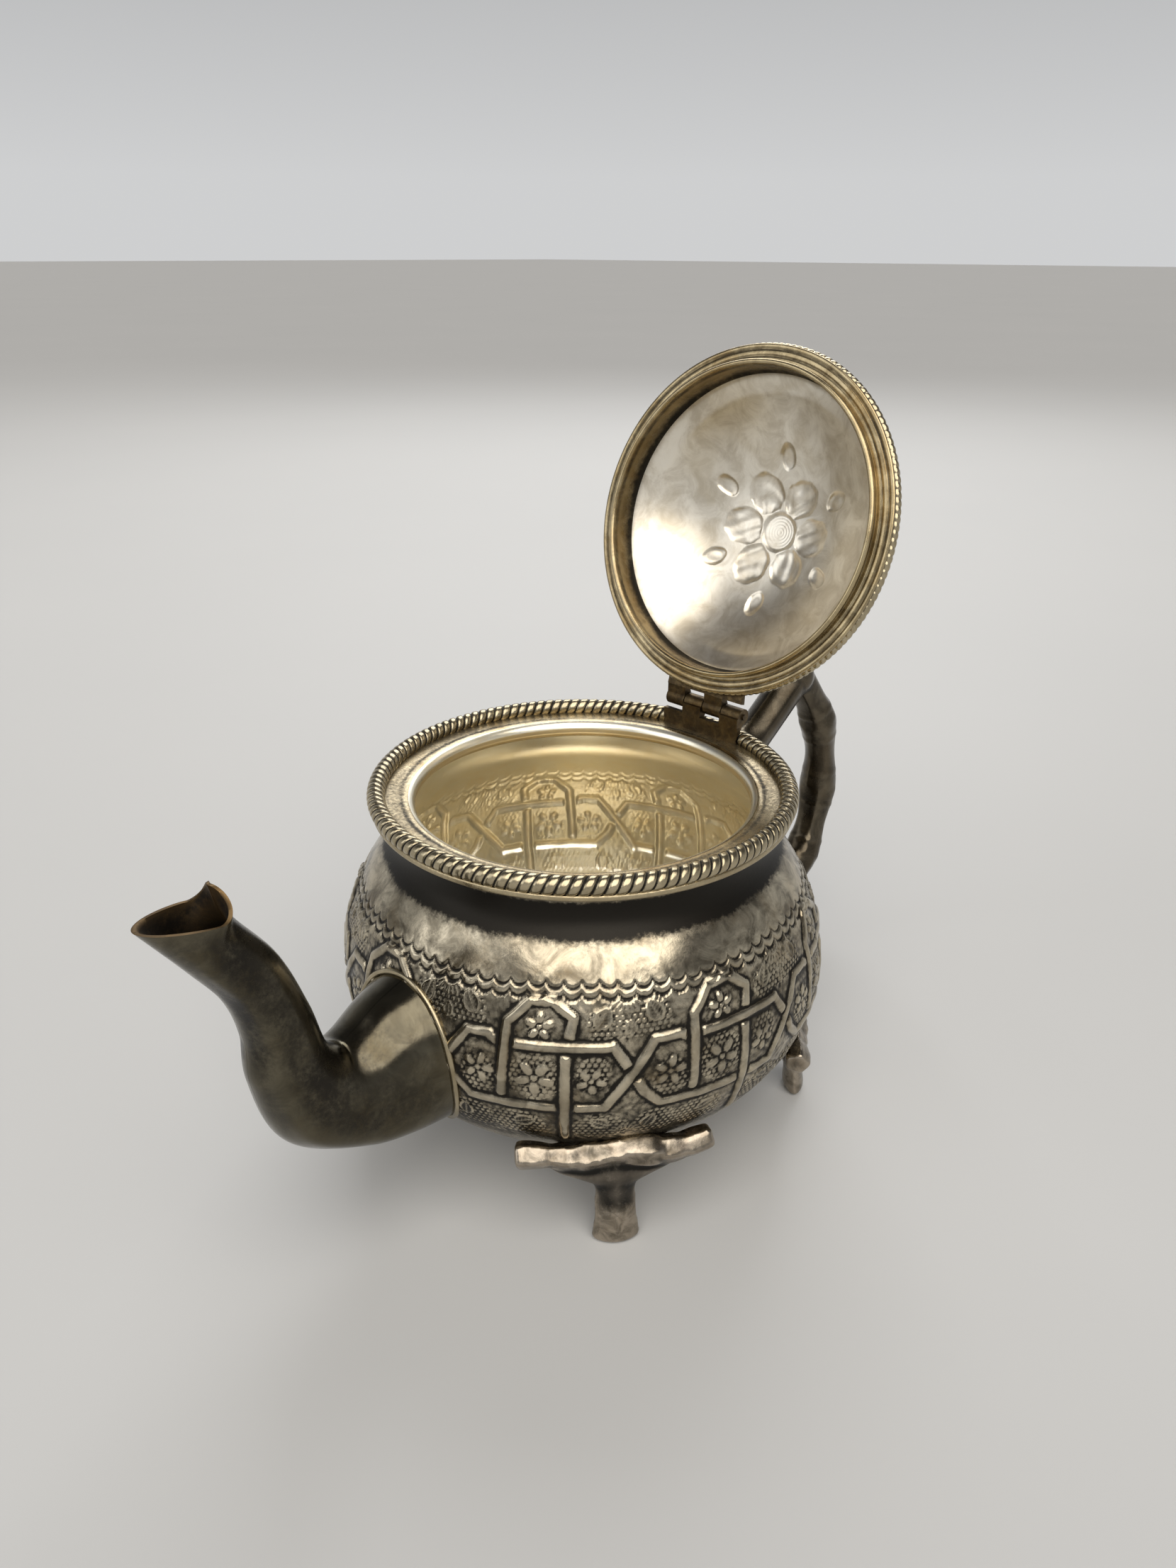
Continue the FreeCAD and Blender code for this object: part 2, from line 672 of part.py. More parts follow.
def make_handle(envelope):
    """Loft the rising arm and the curved grip, join them, swell the knots and seat both roots."""
    cells = vars(D)
    knots = {}
    for name, _, _ in HANDLE_KNOTS:
        reach = D.belly_radius + cells[f"handle_{name}_reach"]
        knots[name] = (reach, D.belly_height + cells[f"handle_{name}_rise"])
    names = list(knots)
    crown = names.index("crown")
    pieces = [twig_length("handle_arm", [knots[name] for name in names[:crown + 1]]),
              twig_length("handle_grip", [knots[name] for name in names[crown:]])]
    for name in names[1:-1]:
        knot = add("Part::Sphere", f"knot_{name}", Radius=D.twig_knot)
        pieces.append(place(knot, x=knots[name][0], z=knots[name][1]))
    return cut("handle", fuse("handle_twig", pieces), envelope)


# The feet

def foot_section(name, reach, height, depth, width):
    """Return a level ellipse of the leg, wider across than it is deep."""
    section = add("Part::Ellipse", name, MajorRadius=width, MinorRadius=depth)
    section.Placement = Placement(Vector(), Rotation(Vector(0, 0, 1), 90))
    return place(section, x=reach, z=height)


def make_foot(name, azimuth, envelope):
    """Loft a leg with a spade toe, lay the knotty bar across it, seat both and turn them to their place."""
    bar_reach = D.belly_radius - D.bar_inset
    bar_height = D.base_height + D.bar_rise
    toe = D.belly_radius - D.toe_reach
    leg = loft(f"{name}_leg", [
        foot_section(f"{name}_hip", bar_reach - D.bar_radius * 1.6, bar_height,
                     D.shank_depth * 1.5, D.hip_width),
        foot_section(f"{name}_thigh", bar_reach - D.bar_radius * 0.8, bar_height - D.bar_radius * 1.9,
                     D.shank_depth * 1.15, D.thigh_width),
        foot_section(f"{name}_shank", bar_reach, bar_height * 0.45, D.shank_depth, D.shank_width),
        foot_section(f"{name}_instep", toe - D.toe_depth * 0.5, bar_height * 0.14, D.toe_depth, D.toe_width),
        foot_section(f"{name}_sole", toe - D.toe_depth * 0.35, Size(0.0),
                     D.toe_depth * 0.8, D.toe_width * 0.88),
    ])
    pieces = [leg]
    sections = []
    for step, (share, girth) in enumerate(((-1.0, 0.85), (-0.6, 1.0), (0.0, 1.1), (0.6, 1.0), (1.0, 0.85))):
        ring = add("Part::Circle", f"{name}_bar_{step}", Radius=D.bar_radius * girth)
        ring.Placement = Placement(Vector(), Rotation(Vector(-1, 0, 0), 90))
        bow = D.bar_radius * (0.55 * share * share)
        sections.append(place(ring, x=bar_reach - bow, y=D.bar_length * share, z=bar_height))
    pieces.append(loft(f"{name}_bar", sections))
    for step, share in enumerate((-0.62, -0.2, 0.2, 0.62)):
        knot = add("Part::Sphere", f"{name}_knot_{step}", Radius=D.bar_knot)
        bow = D.bar_radius * (0.55 * share * share)
        pieces.append(place(knot, x=bar_reach - bow, y=D.bar_length * share, z=bar_height))
    foot = cut(name, fuse(f"{name}_cast", pieces), envelope)
    foot.Placement = Placement(Vector(), Rotation(Vector(0, 0, 1), azimuth))
    return foot


# The lid, drawn closed

def make_lid_dome(name):
    """Turn the lid's sheet: a flat edge, an upright wall and the dome."""
    axis = Size(0.0)
    inner = BEZEL_INNER
    outer = inner + D.lid_wall
    edge = D.lid_radius - D.lid_edge_wire * 0.5
    corners = [
        (inner, LID_EDGE),
        (edge, LID_EDGE),
        (edge, LID_EDGE + D.lid_wall),
        (outer, LID_EDGE + D.lid_wall),
        (outer, DOME_FOOT),
        (D.dome_shoulder, DOME_SHOULDER, ("axis", None, False)),
        (axis, DOME_CROWN),
        (axis, DOME_CROWN - D.lid_wall, ("axis", None, True)),
        (D.dome_shoulder - D.lid_wall * 0.4, DOME_SHOULDER - D.lid_wall),
        (inner, DOME_FOOT - D.lid_wall * 0.5),
    ]
    return turned(name, corners)


def make_bezel():
    """Turn the ring that drops into the mouth."""
    bottom = LID_EDGE - D.bezel_depth
    corners = [
        (BEZEL_INNER, bottom),
        (BEZEL_OUTER, bottom),
        (BEZEL_OUTER, LID_EDGE),
        (BEZEL_INNER, LID_EDGE),
    ]
    return turned("lid_bezel", corners)


def make_lid_wire(name, grow):
    """Lay the wire on the lid's edge, made fatter by grow."""
    wire = D.lid_edge_wire
    return turned_ring(name, D.lid_radius - wire, LID_EDGE + D.lid_wall + wire, wire + grow)


def make_finial():
    """Turn the collar on the crown and the bud that stands in it."""
    axis = Size(0.0)
    top = DOME_CROWN + D.finial_collar_height
    seat = DOME_CROWN - D.lid_wall * 0.5
    collar = turned("finial_collar_blank", [
        (axis, seat),
        (D.finial_collar_radius, seat),
        (D.finial_collar_radius, DOME_CROWN + D.finial_collar_height * 0.4),
        (D.finial_stem * 1.4, top),
        (axis, top),
    ])
    bud_middle = top + D.finial_height * 0.55
    bud = turned("lid_finial", [
        (axis, top),
        (D.finial_stem, top),
        (D.finial_stem * 0.8, top + D.finial_height * 0.2, ("radius", D.finial_radius, False)),
        (D.finial_radius, bud_middle, ("radius", D.finial_radius * 1.15, False)),
        (D.finial_stem * 0.5, top + D.finial_height * 0.92),
        (axis, top + D.finial_height),
    ])
    return collar, bud


# The hinge, drawn closed

def knuckle(name, slot, bore):
    """Return a bored knuckle in one of the four slots, counted from the +Y end."""
    length = SPAN - D.knuckle_gap
    start = D.hinge_width / 2 - SPAN * (slot + 1) + D.knuckle_gap / 2
    barrel = add("Part::Cylinder", f"{name}_barrel", Radius=D.knuckle_radius, Height=length)
    drill = add("Part::Cylinder", f"{name}_drill", Radius=D.pin_radius + bore, Height=D.hinge_width * 2)
    for item, y in ((barrel, start), (drill, -D.hinge_width)):
        item.Placement = Placement(Vector(), Rotation(Vector(-1, 0, 0), 90))
        place(item, x=HINGE_REACH, y=y, z=HINGE_HEIGHT)
    return barrel, drill


def finger(name, slot, corners):
    """Return a plate one slot wide that carries a knuckle."""
    body = plate(name, corners, SPAN - D.knuckle_gap)
    return place(body, y=D.hinge_width / 2 - SPAN * (slot + 0.5))


def make_leaf(name, web, reach_corners, slots, bore, room):
    """Join a leaf's web, its fingers and its knuckles, bore them for the pin and file room for a ring."""
    pieces = [web]
    drill = None
    for slot in slots:
        barrel, drill = knuckle(f"{name}_knuckle_{slot}", slot, bore)
        pieces += [finger(f"{name}_finger_{slot}", slot, reach_corners), barrel]
    bored = cut(f"{name}_bored", fuse(f"{name}_solid", pieces), drill)
    return cut(name, bored, room)


def make_hinge():
    """Make the body's leaf, the lid's leaf and the pin, with lid and body knuckles in turn."""
    front = HINGE_REACH - D.knuckle_radius - D.leaf_clearance
    back = front + D.leaf_thickness
    under = HINGE_HEIGHT - D.knuckle_radius - D.leaf_clearance
    stand = plate("stand_plate", [(front, D.flange_top), (back, D.flange_top), (back, under), (front, under)],
                  D.hinge_width)
    riser = [(front, under - D.leaf_thickness), (back, under - D.leaf_thickness),
             (HINGE_REACH, under + D.leaf_clearance), (HINGE_REACH, HINGE_HEIGHT + D.pin_radius),
             (front, HINGE_HEIGHT)]
    rope_room = make_rope("rope_room", D.filing_clearance)
    body_leaf = make_leaf("hinge_body_leaf", stand, riser, (1, 3), D.pin_fit, rope_room)
    root = BEZEL_INNER + D.lid_wall + D.lid_clearance
    step = D.lid_radius - D.lid_edge_wire * 2 - D.lid_clearance
    web_end = front - D.leaf_clearance
    flange = LID_EDGE + D.lid_wall
    over = flange + D.lid_edge_wire * 2 + D.lid_clearance
    top = over + D.leaf_thickness
    tongue_corners = [(root, flange), (step, flange), (step, over),
                      (web_end, over), (web_end, top), (root, over)]
    tongue = plate("tongue_plate", tongue_corners, D.hinge_width)
    arm = [(web_end - D.leaf_thickness, over), (web_end, over),
           (HINGE_REACH, HINGE_HEIGHT - D.pin_radius * 2),
           (HINGE_REACH, HINGE_HEIGHT + D.knuckle_radius), (web_end - D.leaf_thickness, top)]
    wire_room = make_lid_wire("wire_room", D.filing_clearance)
    lid_leaf = make_leaf("hinge_lid_leaf", tongue, arm, (0, 2), D.pin_clearance, wire_room)
    pin = add("Part::Cylinder", "hinge_pin", Radius=D.pin_radius, Height=D.hinge_width + D.pin_proud * 2)
    pin.Placement = Placement(Vector(), Rotation(Vector(-1, 0, 0), 90))
    place(pin, x=HINGE_REACH, y=-(D.hinge_width / 2 + D.pin_proud), z=HINGE_HEIGHT)
    return body_leaf, lid_leaf, pin


def swing_open(item):
    """Swing a closed piece of the lid open about the hinge pin."""
    pin = Vector(HINGE_REACH.value, 0, HINGE_HEIGHT.value)
    swing = Placement(Vector(), Rotation(Vector(0, 1, 0), D.open_angle.value), pin)
    item.Placement = swing.multiply(item.Placement)


def check(item):
    """Stop if an object failed or its solid is missing."""
    bad = [state for state in item.State if state in ("Invalid", "Error")]
    if bad or item.Shape.isNull() or not item.Shape.isValid() or not item.Shape.Solids:
        raise RuntimeError(f"{item.Name}: state {item.State}")


def main():
    """Build every piece, check it and write its STEP file."""
    envelope = make_envelope("pot_envelope", Size(0.0))
    bowl = make_bowl()
    outer, spout_left, spout_right = make_spout(envelope)
    fatter_spout, root_bead = make_root_bead(outer, envelope)
    body_leaf, lid_leaf, pin = make_hinge()
    collar, bud = make_finial()
    finial_collar = cut("finial_collar", collar, make_lid_dome("closed_dome"))
    fixed = {
        "body_bowl": bowl,
        "strapwork": make_strapwork(envelope, fatter_spout),
        "mouth_collar": make_collar(),
        "rope_border": make_rope("rope_border", Size(0.0)),
        "spout_left_half": spout_left,
        "spout_right_half": spout_right,
        "spout_root_bead": root_bead,
        "strainer_plate": make_strainer(envelope),
        "handle": make_handle(envelope),
        "hinge_body_leaf": body_leaf,
        "hinge_pin": pin,
    }
    for name, side, end in (("foot_front_left", -1, -1), ("foot_front_right", 1, -1),
                            ("foot_back_left", -1, 1), ("foot_back_right", 1, 1)):
        azimuth = D.foot_angle.value if end > 0 else 180.0 - D.foot_angle.value
        fixed[name] = make_foot(name, side * azimuth, envelope)
    swinging = {
        "lid_dome": make_lid_dome("lid_dome"),
        "lid_bezel": make_bezel(),
        "lid_rim_wire": make_lid_wire("lid_rim_wire", Size(0.0)),
        "finial_collar": finial_collar,
        "lid_finial": bud,
        "hinge_lid_leaf": lid_leaf,
    }
    for item in swinging.values():
        swing_open(item)
    DOCUMENT.recompute()
    for item in DOCUMENT.Objects:
        if hasattr(item, "Shape") and item.isDerivedFrom("Part::Feature") and "Sketch" not in item.TypeId:
            if item.TypeId not in ("Part::Ellipse", "Part::Circle"):
                check(item)
    os.makedirs("parts", exist_ok=True)
    for name, item in {**fixed, **swinging}.items():
        item.Label = name
        check(item)
        item.Shape.exportStep(f"parts/{name}.step")


main()
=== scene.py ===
"""Looks of a squat silver teapot on twig feet, with its lid standing open.

Sizes are millimetres in the frame of the solids: the pot's axis is Z, the spout points to -X, the hinge and
the handle are at +X and the table is at nought. Points become metres when a mesh is made of them.
"""

from __future__ import annotations

import json
import logging
import math
from dataclasses import dataclass
from enum import Enum
from typing import Callable, Mapping, Sequence, Union

import bmesh
import bpy
import numpy as np
from mathutils import Matrix, Vector

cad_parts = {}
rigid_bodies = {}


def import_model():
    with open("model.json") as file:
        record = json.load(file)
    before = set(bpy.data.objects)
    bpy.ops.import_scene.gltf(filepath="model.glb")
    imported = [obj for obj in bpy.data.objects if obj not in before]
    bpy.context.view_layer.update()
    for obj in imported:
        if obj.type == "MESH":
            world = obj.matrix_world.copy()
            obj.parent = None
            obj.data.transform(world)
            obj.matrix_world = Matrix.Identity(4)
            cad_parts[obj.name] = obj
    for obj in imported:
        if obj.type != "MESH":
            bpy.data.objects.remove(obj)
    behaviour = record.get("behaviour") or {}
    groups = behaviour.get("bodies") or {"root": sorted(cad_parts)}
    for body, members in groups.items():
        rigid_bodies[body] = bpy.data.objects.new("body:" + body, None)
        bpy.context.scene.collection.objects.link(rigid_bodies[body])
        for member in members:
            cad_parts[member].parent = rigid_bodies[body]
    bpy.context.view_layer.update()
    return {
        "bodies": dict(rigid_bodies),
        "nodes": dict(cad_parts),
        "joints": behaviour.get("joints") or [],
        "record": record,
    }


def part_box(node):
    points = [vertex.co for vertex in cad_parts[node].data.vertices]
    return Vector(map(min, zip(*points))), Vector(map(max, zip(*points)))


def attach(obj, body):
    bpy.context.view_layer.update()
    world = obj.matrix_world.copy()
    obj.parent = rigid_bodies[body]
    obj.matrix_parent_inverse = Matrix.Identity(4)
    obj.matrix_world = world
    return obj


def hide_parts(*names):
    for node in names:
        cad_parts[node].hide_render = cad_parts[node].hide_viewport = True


LOG = logging.getLogger("teapot")
MM = 0.001
PHOTO_HEIGHT = 2212

Colour = tuple[float, float, float]
Point = tuple[float, float]
Place = tuple[float, float, float]

ACROSS = np.array([0.0, 1.0, 0.0])
UPWARD = np.array([0.0, 0.0, 1.0])
# The height of a motif where it has no relief, which is below every ground.
NOTHING = -9.0


class Body(Enum):
    """The rigid bodies that pieces ride on."""

    POT = "pot"
    LID = "lid"


class Mark(Enum):
    """The values that a mesh carries for its finish to read."""

    HOLLOW = "hollow"
    # Grime, which on some pieces also carries painted shade and a painted highlight.
    GRIME_AND_SHADE = "grime"


# Meshes


@dataclass
class Sheet:
    """A grid of points in rows and columns, in millimetres.

    Attributes:
        points: The points, as rows by columns by three.
        loop_columns: Whether the last column joins the first.
        loop_rows: Whether the last row joins the first.
        slots: The material slot of each row of faces, or None for the first slot.
    """

    points: np.ndarray
    loop_columns: bool = True
    loop_rows: bool = False
    slots: Union[np.ndarray, None] = None

    def quads(self, start: int) -> np.ndarray:
        """Number the corners of every face.

        Args:
            start: The number of the sheet's first point.

        Returns:
            Four point numbers for each face.
        """
        rows, columns = self.points.shape[:2]
        numbers = np.arange(rows * columns).reshape(rows, columns) + start
        if self.loop_columns:
            numbers = np.concatenate([numbers, numbers[:, :1]], axis=1)
        if self.loop_rows:
            numbers = np.concatenate([numbers, numbers[:1]], axis=0)
        corners = [numbers[:-1, :-1], numbers[:-1, 1:], numbers[1:, 1:], numbers[1:, :-1]]
        return np.stack(corners, axis=-1)

    def face_slots(self, faces: np.ndarray) -> np.ndarray:
        """Give each face its row's material slot."""
        slots = np.zeros(faces.shape[:2], dtype=np.int32)
        if self.slots is not None:
            slots += self.slots[:faces.shape[0], None]
        return slots.ravel()


def make_piece(name: str, sheets: Sequence[Sheet], sharp: float = 42.0) -> bpy.types.Object:
    """Make one object of several sheets and weld the points that meet.

    Args:
        name: The piece's name.
        sheets: The sheets that it is made of.
        sharp: Edges that turn by more than this, in degrees, stay sharp.

    Returns:
        The object, linked to the scene.
    """
    weld = 0.004
    points = np.concatenate([sheet.points.reshape(-1, 3) for sheet in sheets]) * MM
    faces, slots = [], []
    start = 0
    for sheet in sheets:
        quads = sheet.quads(start)
        faces.append(quads.reshape(-1, 4))
        slots.append(sheet.face_slots(quads))
        start += sheet.points.shape[0] * sheet.points.shape[1]
    corners = np.concatenate(faces).astype(np.int32)
    mesh = bpy.data.meshes.new(name)
    mesh.vertices.add(len(points))
    mesh.vertices.foreach_set("co", points.astype(np.float32).ravel())
    mesh.loops.add(corners.size)
    mesh.loops.foreach_set("vertex_index", corners.ravel())
    mesh.polygons.add(len(corners))
    mesh.polygons.foreach_set("loop_start", np.arange(0, corners.size, 4, dtype=np.int32))
    mesh.polygons.foreach_set("material_index", np.concatenate(slots))
    mesh.update(calc_edges=True)
    mesh.validate()
    edit = bmesh.new()
    edit.from_mesh(mesh)
    bmesh.ops.remove_doubles(edit, verts=edit.verts, dist=weld * MM)
    bmesh.ops.recalc_face_normals(edit, faces=edit.faces)
    edit.to_mesh(mesh)
    edit.free()
    return show_piece(name, mesh, sharp)


def show_piece(name: str, mesh: bpy.types.Mesh, sharp: float) -> bpy.types.Object:
    """Shade a mesh smooth but for its sharp edges and link it to the scene as an object."""
    mesh.polygons.foreach_set("use_smooth", np.ones(len(mesh.polygons), dtype=bool))
    mesh.set_sharp_from_angle(angle=math.radians(sharp))
    mesh.update()
    piece = bpy.data.objects.new(name, mesh)
    bpy.context.scene.collection.objects.link(piece)
    return piece


def points_of(mesh: bpy.types.Mesh) -> np.ndarray:
    """Read a mesh's points in millimetres."""
    flat = np.empty(len(mesh.vertices) * 3, dtype=np.float32)
    mesh.vertices.foreach_get("co", flat)
    return flat.reshape(-1, 3).astype(float) / MM


def move_points(mesh: bpy.types.Mesh, points: np.ndarray) -> None:
    """Write a mesh's points, given in millimetres."""
    mesh.vertices.foreach_set("co", (points * MM).astype(np.float32).ravel())
    mesh.update()


def mark_points(piece: bpy.types.Object, mark: Mark, values: np.ndarray) -> None:
    """Give every point of a piece a value that its finish reads."""
    layer = piece.data.attributes.new(mark.value, "FLOAT", "POINT")
    layer.data.foreach_set("value", values.astype(np.float32))


def relaxed(mesh: bpy.types.Mesh, points: np.ndarray, rounds: int) -> np.ndarray:
    """Even out points by moving each to the middle of its neighbours, several times over."""
    pairs = np.empty(len(mesh.edges) * 2, dtype=np.int32)
    mesh.edges.foreach_get("vertices", pairs)
    first, second = pairs.reshape(-1, 2).T
    count = len(points)
    degree = np.maximum(np.bincount(first, minlength=count) + np.bincount(second, minlength=count), 1)
    for _ in range(rounds):
        sums = [np.bincount(first, column[second], count) + np.bincount(second, column[first], count)
                for column in points.T]
        points = np.stack(sums, axis=1) / degree[:, None]
    return points


def mark_hollows(piece: bpy.types.Object, rounds: int, depth: float) -> None:
    """Mark how far each point lies below the evened surface, and above it as less than nought.

    Args:
        piece: The piece to mark.
        rounds: How many rounds of evening out give the surface to compare with.
        depth: The depth in millimetres that counts as one.
    """
    mesh = piece.data
    points = points_of(mesh)
    normals = np.empty(len(points) * 3, dtype=np.float32)
    mesh.vertex_normals.foreach_get("vector", normals)
    below = np.einsum("ij,ij->i", relaxed(mesh, points, rounds) - points, normals.reshape(-1, 3))
    mark_points(piece, Mark.HOLLOW, np.clip(below / depth, -1.0, 1.0))


def weathered_and_shaded(piece: bpy.types.Object, rounds: int, depth: float,
              grime: Union[float, np.ndarray]) -> bpy.types.Object:
    """Mark a piece's hollows and its grime, together with any painted shade and painted highlight.

    Args:
        piece: The piece to mark.
        rounds: How many rounds of evening out the hollows are measured by.
        depth: The depth in millimetres that counts as one.
        grime: Grime, painted shade and painted highlight, all over or at each point.

    Returns:
        The piece.
    """
    mark_hollows(piece, rounds, depth)
    mark_points(piece, Mark.GRIME_AND_SHADE, np.broadcast_to(grime, len(piece.data.vertices)))
    return piece


def smooth_step(values: np.ndarray, low: float, high: float) -> np.ndarray:
    """Rise smoothly from nought at low to one at high; low may be the larger."""
    share = np.clip((values - low) / (high - low), 0.0, 1.0)
    return share * share * (3.0 - 2.0 * share)


def circle(count: int) -> np.ndarray:
    """Return angles spaced evenly once round."""
    return np.arange(count) * (2.0 * math.pi / count)


def unit(vectors: np.ndarray) -> np.ndarray:
    """Bring every row to a length of one."""
    return vectors / np.linalg.norm(vectors, axis=1)[:, None]


def lengths_along(path: np.ndarray) -> np.ndarray:
    """Return how far along a path each of its points lies."""
    return np.concatenate([[0.0], np.cumsum(np.linalg.norm(np.diff(path, axis=0), axis=1))])


def about_axis(radius: np.ndarray, turn: np.ndarray, height: np.ndarray) -> np.ndarray:
    """Set points about Z at radii, angles and heights."""
    return np.stack([radius * np.cos(turn), radius * np.sin(turn), height + 0.0 * turn], axis=-1)


def turned(outline: np.ndarray, columns: int) -> np.ndarray:
    """Turn an outline of radii and heights about Z, as rows by columns of points."""
    return about_axis(outline[:, :1], circle(columns), outline[:, 1:2])


def spaced(path: np.ndarray, step: Union[float, Callable[[np.ndarray], np.ndarray]]) -> np.ndarray:
    """Space points along a path.

    Args:
        path: A fine path of points.
        step: The wanted spacing, or what gives it at points of the path.

    Returns:
        The path's points, as far apart as the spacing asks.
    """
    lengths = np.linalg.norm(np.diff(path, axis=0), axis=1)
    middles = (path[1:] + path[:-1]) / 2.0
    spacing = step(middles) if callable(step) else step
    steps = np.concatenate([[0.0], np.cumsum(lengths / spacing)])
    count = max(int(round(steps[-1])), 2)
    wanted = np.linspace(0.0, steps[-1], count + 1)
    return np.stack([np.interp(wanted, steps, column) for column in path.T], axis=1)


def arc(first: Point, last: Point, centre: Point, count: int = 200) -> np.ndarray:
    """Draw the shorter arc from one point to another about a centre."""
    begin = math.atan2(first[1] - centre[1], first[0] - centre[0])
    turn = math.atan2(last[1] - centre[1], last[0] - centre[0]) - begin
    turn = (turn + math.pi) % (2.0 * math.pi) - math.pi
    angles = begin + turn * np.linspace(0.0, 1.0, count)
    radius = np.linspace(math.dist(first, centre), math.dist(last, centre), count)
    return np.stack([centre[0] + radius * np.cos(angles), centre[1] + radius * np.sin(angles)], axis=1)


def rounded(corners: Sequence[Point], radius: float) -> np.ndarray:
    """Join corners by straight runs, with every corner rounded.

    Args:
        corners: The corners in order.
        radius: The most that a corner is rounded by.

    Returns:
        A path of points.
    """
    spots = [np.array(corner, dtype=float) for corner in corners]
    path = [spots[0]]
    for before, spot, after in zip(spots, spots[1:], spots[2:]):
        back, on = before - spot, after - spot
        reach = min(radius, 0.45 * np.linalg.norm(back), 0.45 * np.linalg.norm(on))
        start = spot + back / np.linalg.norm(back) * reach
        finish = spot + on / np.linalg.norm(on) * reach
        for share in np.linspace(0.0, 1.0, 7):
            path.append(start * (1 - share) ** 2 + spot * 2 * share * (1 - share) + finish * share ** 2)
    path.append(spots[-1])
    return np.array(path)


def smooth_curve(knots: np.ndarray, steps: int) -> np.ndarray:
    """Run a smooth curve through knots.

    Args:
        knots: The knots in order, one to a row; a knot may be a whole ring of points.
        steps: How many steps go from one knot to the next.

    Returns:
        The points on the curve, the last knot included.
    """
    padded = np.concatenate([[2 * knots[0] - knots[1]], knots, [2 * knots[-1] - knots[-2]]])
    path = []
    for index in range(1, len(padded) - 2):
        before, first, last, after = padded[index - 1:index + 3]
        for share in np.arange(steps) / steps:
            cube, square = share ** 3, share ** 2
            point = before * (-0.5 * cube + square - 0.5 * share)
            point = point + first * (1.5 * cube - 2.5 * square + 1.0)
            point = point + last * (-1.5 * cube + 2.0 * square + 0.5 * share)
            path.append(point + after * (0.5 * cube - 0.5 * square))
    path.append(knots[-1])
    return np.array(path)


# Finishes

Input = Union["Wire", float, Sequence[float]]


class Wire:
    """A shader socket that takes part in Python sums."""

    def __init__(self, board: "Board", socket: bpy.types.NodeSocket) -> None:
        """Keep the board and the socket."""
        self.board = board
        self.socket = socket

    def _sum(self, operation: str, first: Input, second: Input) -> "Wire":
        """Add a Math node."""
        return self.board.node("ShaderNodeMath", {"operation": operation}, {0: first, 1: second})

    def __add__(self, other: Input) -> "Wire":
        """Add."""
        return self._sum("ADD", self, other)

    def __radd__(self, other: Input) -> "Wire":
        """Add to a number."""
        return self._sum("ADD", other, self)

    def __sub__(self, other: Input) -> "Wire":
        """Take away."""
        return self._sum("SUBTRACT", self, other)

    def __rsub__(self, other: Input) -> "Wire":
        """Take away from a number."""
        return self._sum("SUBTRACT", other, self)

    def __mul__(self, other: Input) -> "Wire":
        """Multiply."""
        return self._sum("MULTIPLY", self, other)

    def held(self) -> "Wire":
        """Hold between nought and one."""
        return self.board.node("ShaderNodeClamp", {}, {"Value": self, "Min": 0.0, "Max": 1.0})

    def between(self, low: float, high: float) -> "Wire":
        """Rise smoothly from nought at low to one at high."""
        inputs = {"Value": self, "From Min": low, "From Max": high}
        return self.board.node("ShaderNodeMapRange", {"interpolation_type": "SMOOTHSTEP"}, inputs)


class Board:
    """The node board of one material."""

    def __init__(self, name: str) -> None:
        """Start a material with its shader."""
        self.material = bpy.data.materials.new(name)
        self.material.use_nodes = True
        self.tree = self.material.node_tree
        self.shader = self.tree.nodes["Principled BSDF"]

    def node(self, kind: str, settings: Mapping[str, object], inputs: Mapping[Union[str, int], Input],
             output: Union[str, int] = 0) -> Wire:
        """Add a node.

        Args:
            kind: The node's type.
            settings: Its settings, which are set first.
            inputs: Values or links of its sockets.
            output: The socket to go on from.

        Returns:
            The output socket.
        """
        made = self.tree.nodes.new(kind)
        for name, value in settings.items():
            setattr(made, name, value)
        for name, value in inputs.items():
            self.feed(made.inputs[name], value)
        return Wire(self, made.outputs[output])

    def feed(self, socket: bpy.types.NodeSocket, value: Input) -> None:
        """Link a wire to a socket, or set the socket's value."""
        if isinstance(value, Wire):
            self.tree.links.new(value.socket, socket)
        elif socket.type == "RGBA":
            socket.default_value = (*value, 1.0)
        else:
            socket.default_value = value

    def dress(self, **sockets: Input) -> None:
        """Feed the shader's sockets; an underscore stands for a space."""
        for name, value in sockets.items():
            self.feed(self.shader.inputs[name.replace("_", " ")], value)

    def place(self) -> Wire:
        """Return the place on the piece, which rides along with it."""
        return self.node("ShaderNodeTexCoord", {}, {}, "Object")

    def noise(self, size: float, detail: float = 4.0, roughness: float = 0.6, twist: float = 0.0) -> Wire:
        """Return cloudy noise whose clouds are about a size in millimetres."""
        inputs = {"Vector": self.place(), "Scale": 1.0 / (size * MM), "Detail": detail,
                  "Roughness": roughness, "Distortion": twist}
        return self.node("ShaderNodeTexNoise", {}, inputs)

    def mark(self, mark: Mark) -> Wire:
        """Return a value that the mesh carries."""
        return self.node("ShaderNodeAttribute", {"attribute_name": mark.value}, {}, "Fac")

    def mix(self, share: Input, first: Input, second: Input) -> Wire:
        """Mix two colours."""
        return self.node("ShaderNodeMix", {"data_type": "RGBA"}, {0: share, 6: first, 7: second}, 2)

    def bump(self, height: Wire, depth: float) -> Wire:
        """Return the normal of a height, whose full rise is a depth in millimetres."""
        return self.node("ShaderNodeBump", {}, {"Height": height, "Distance": depth * MM, "Strength": 1.0})


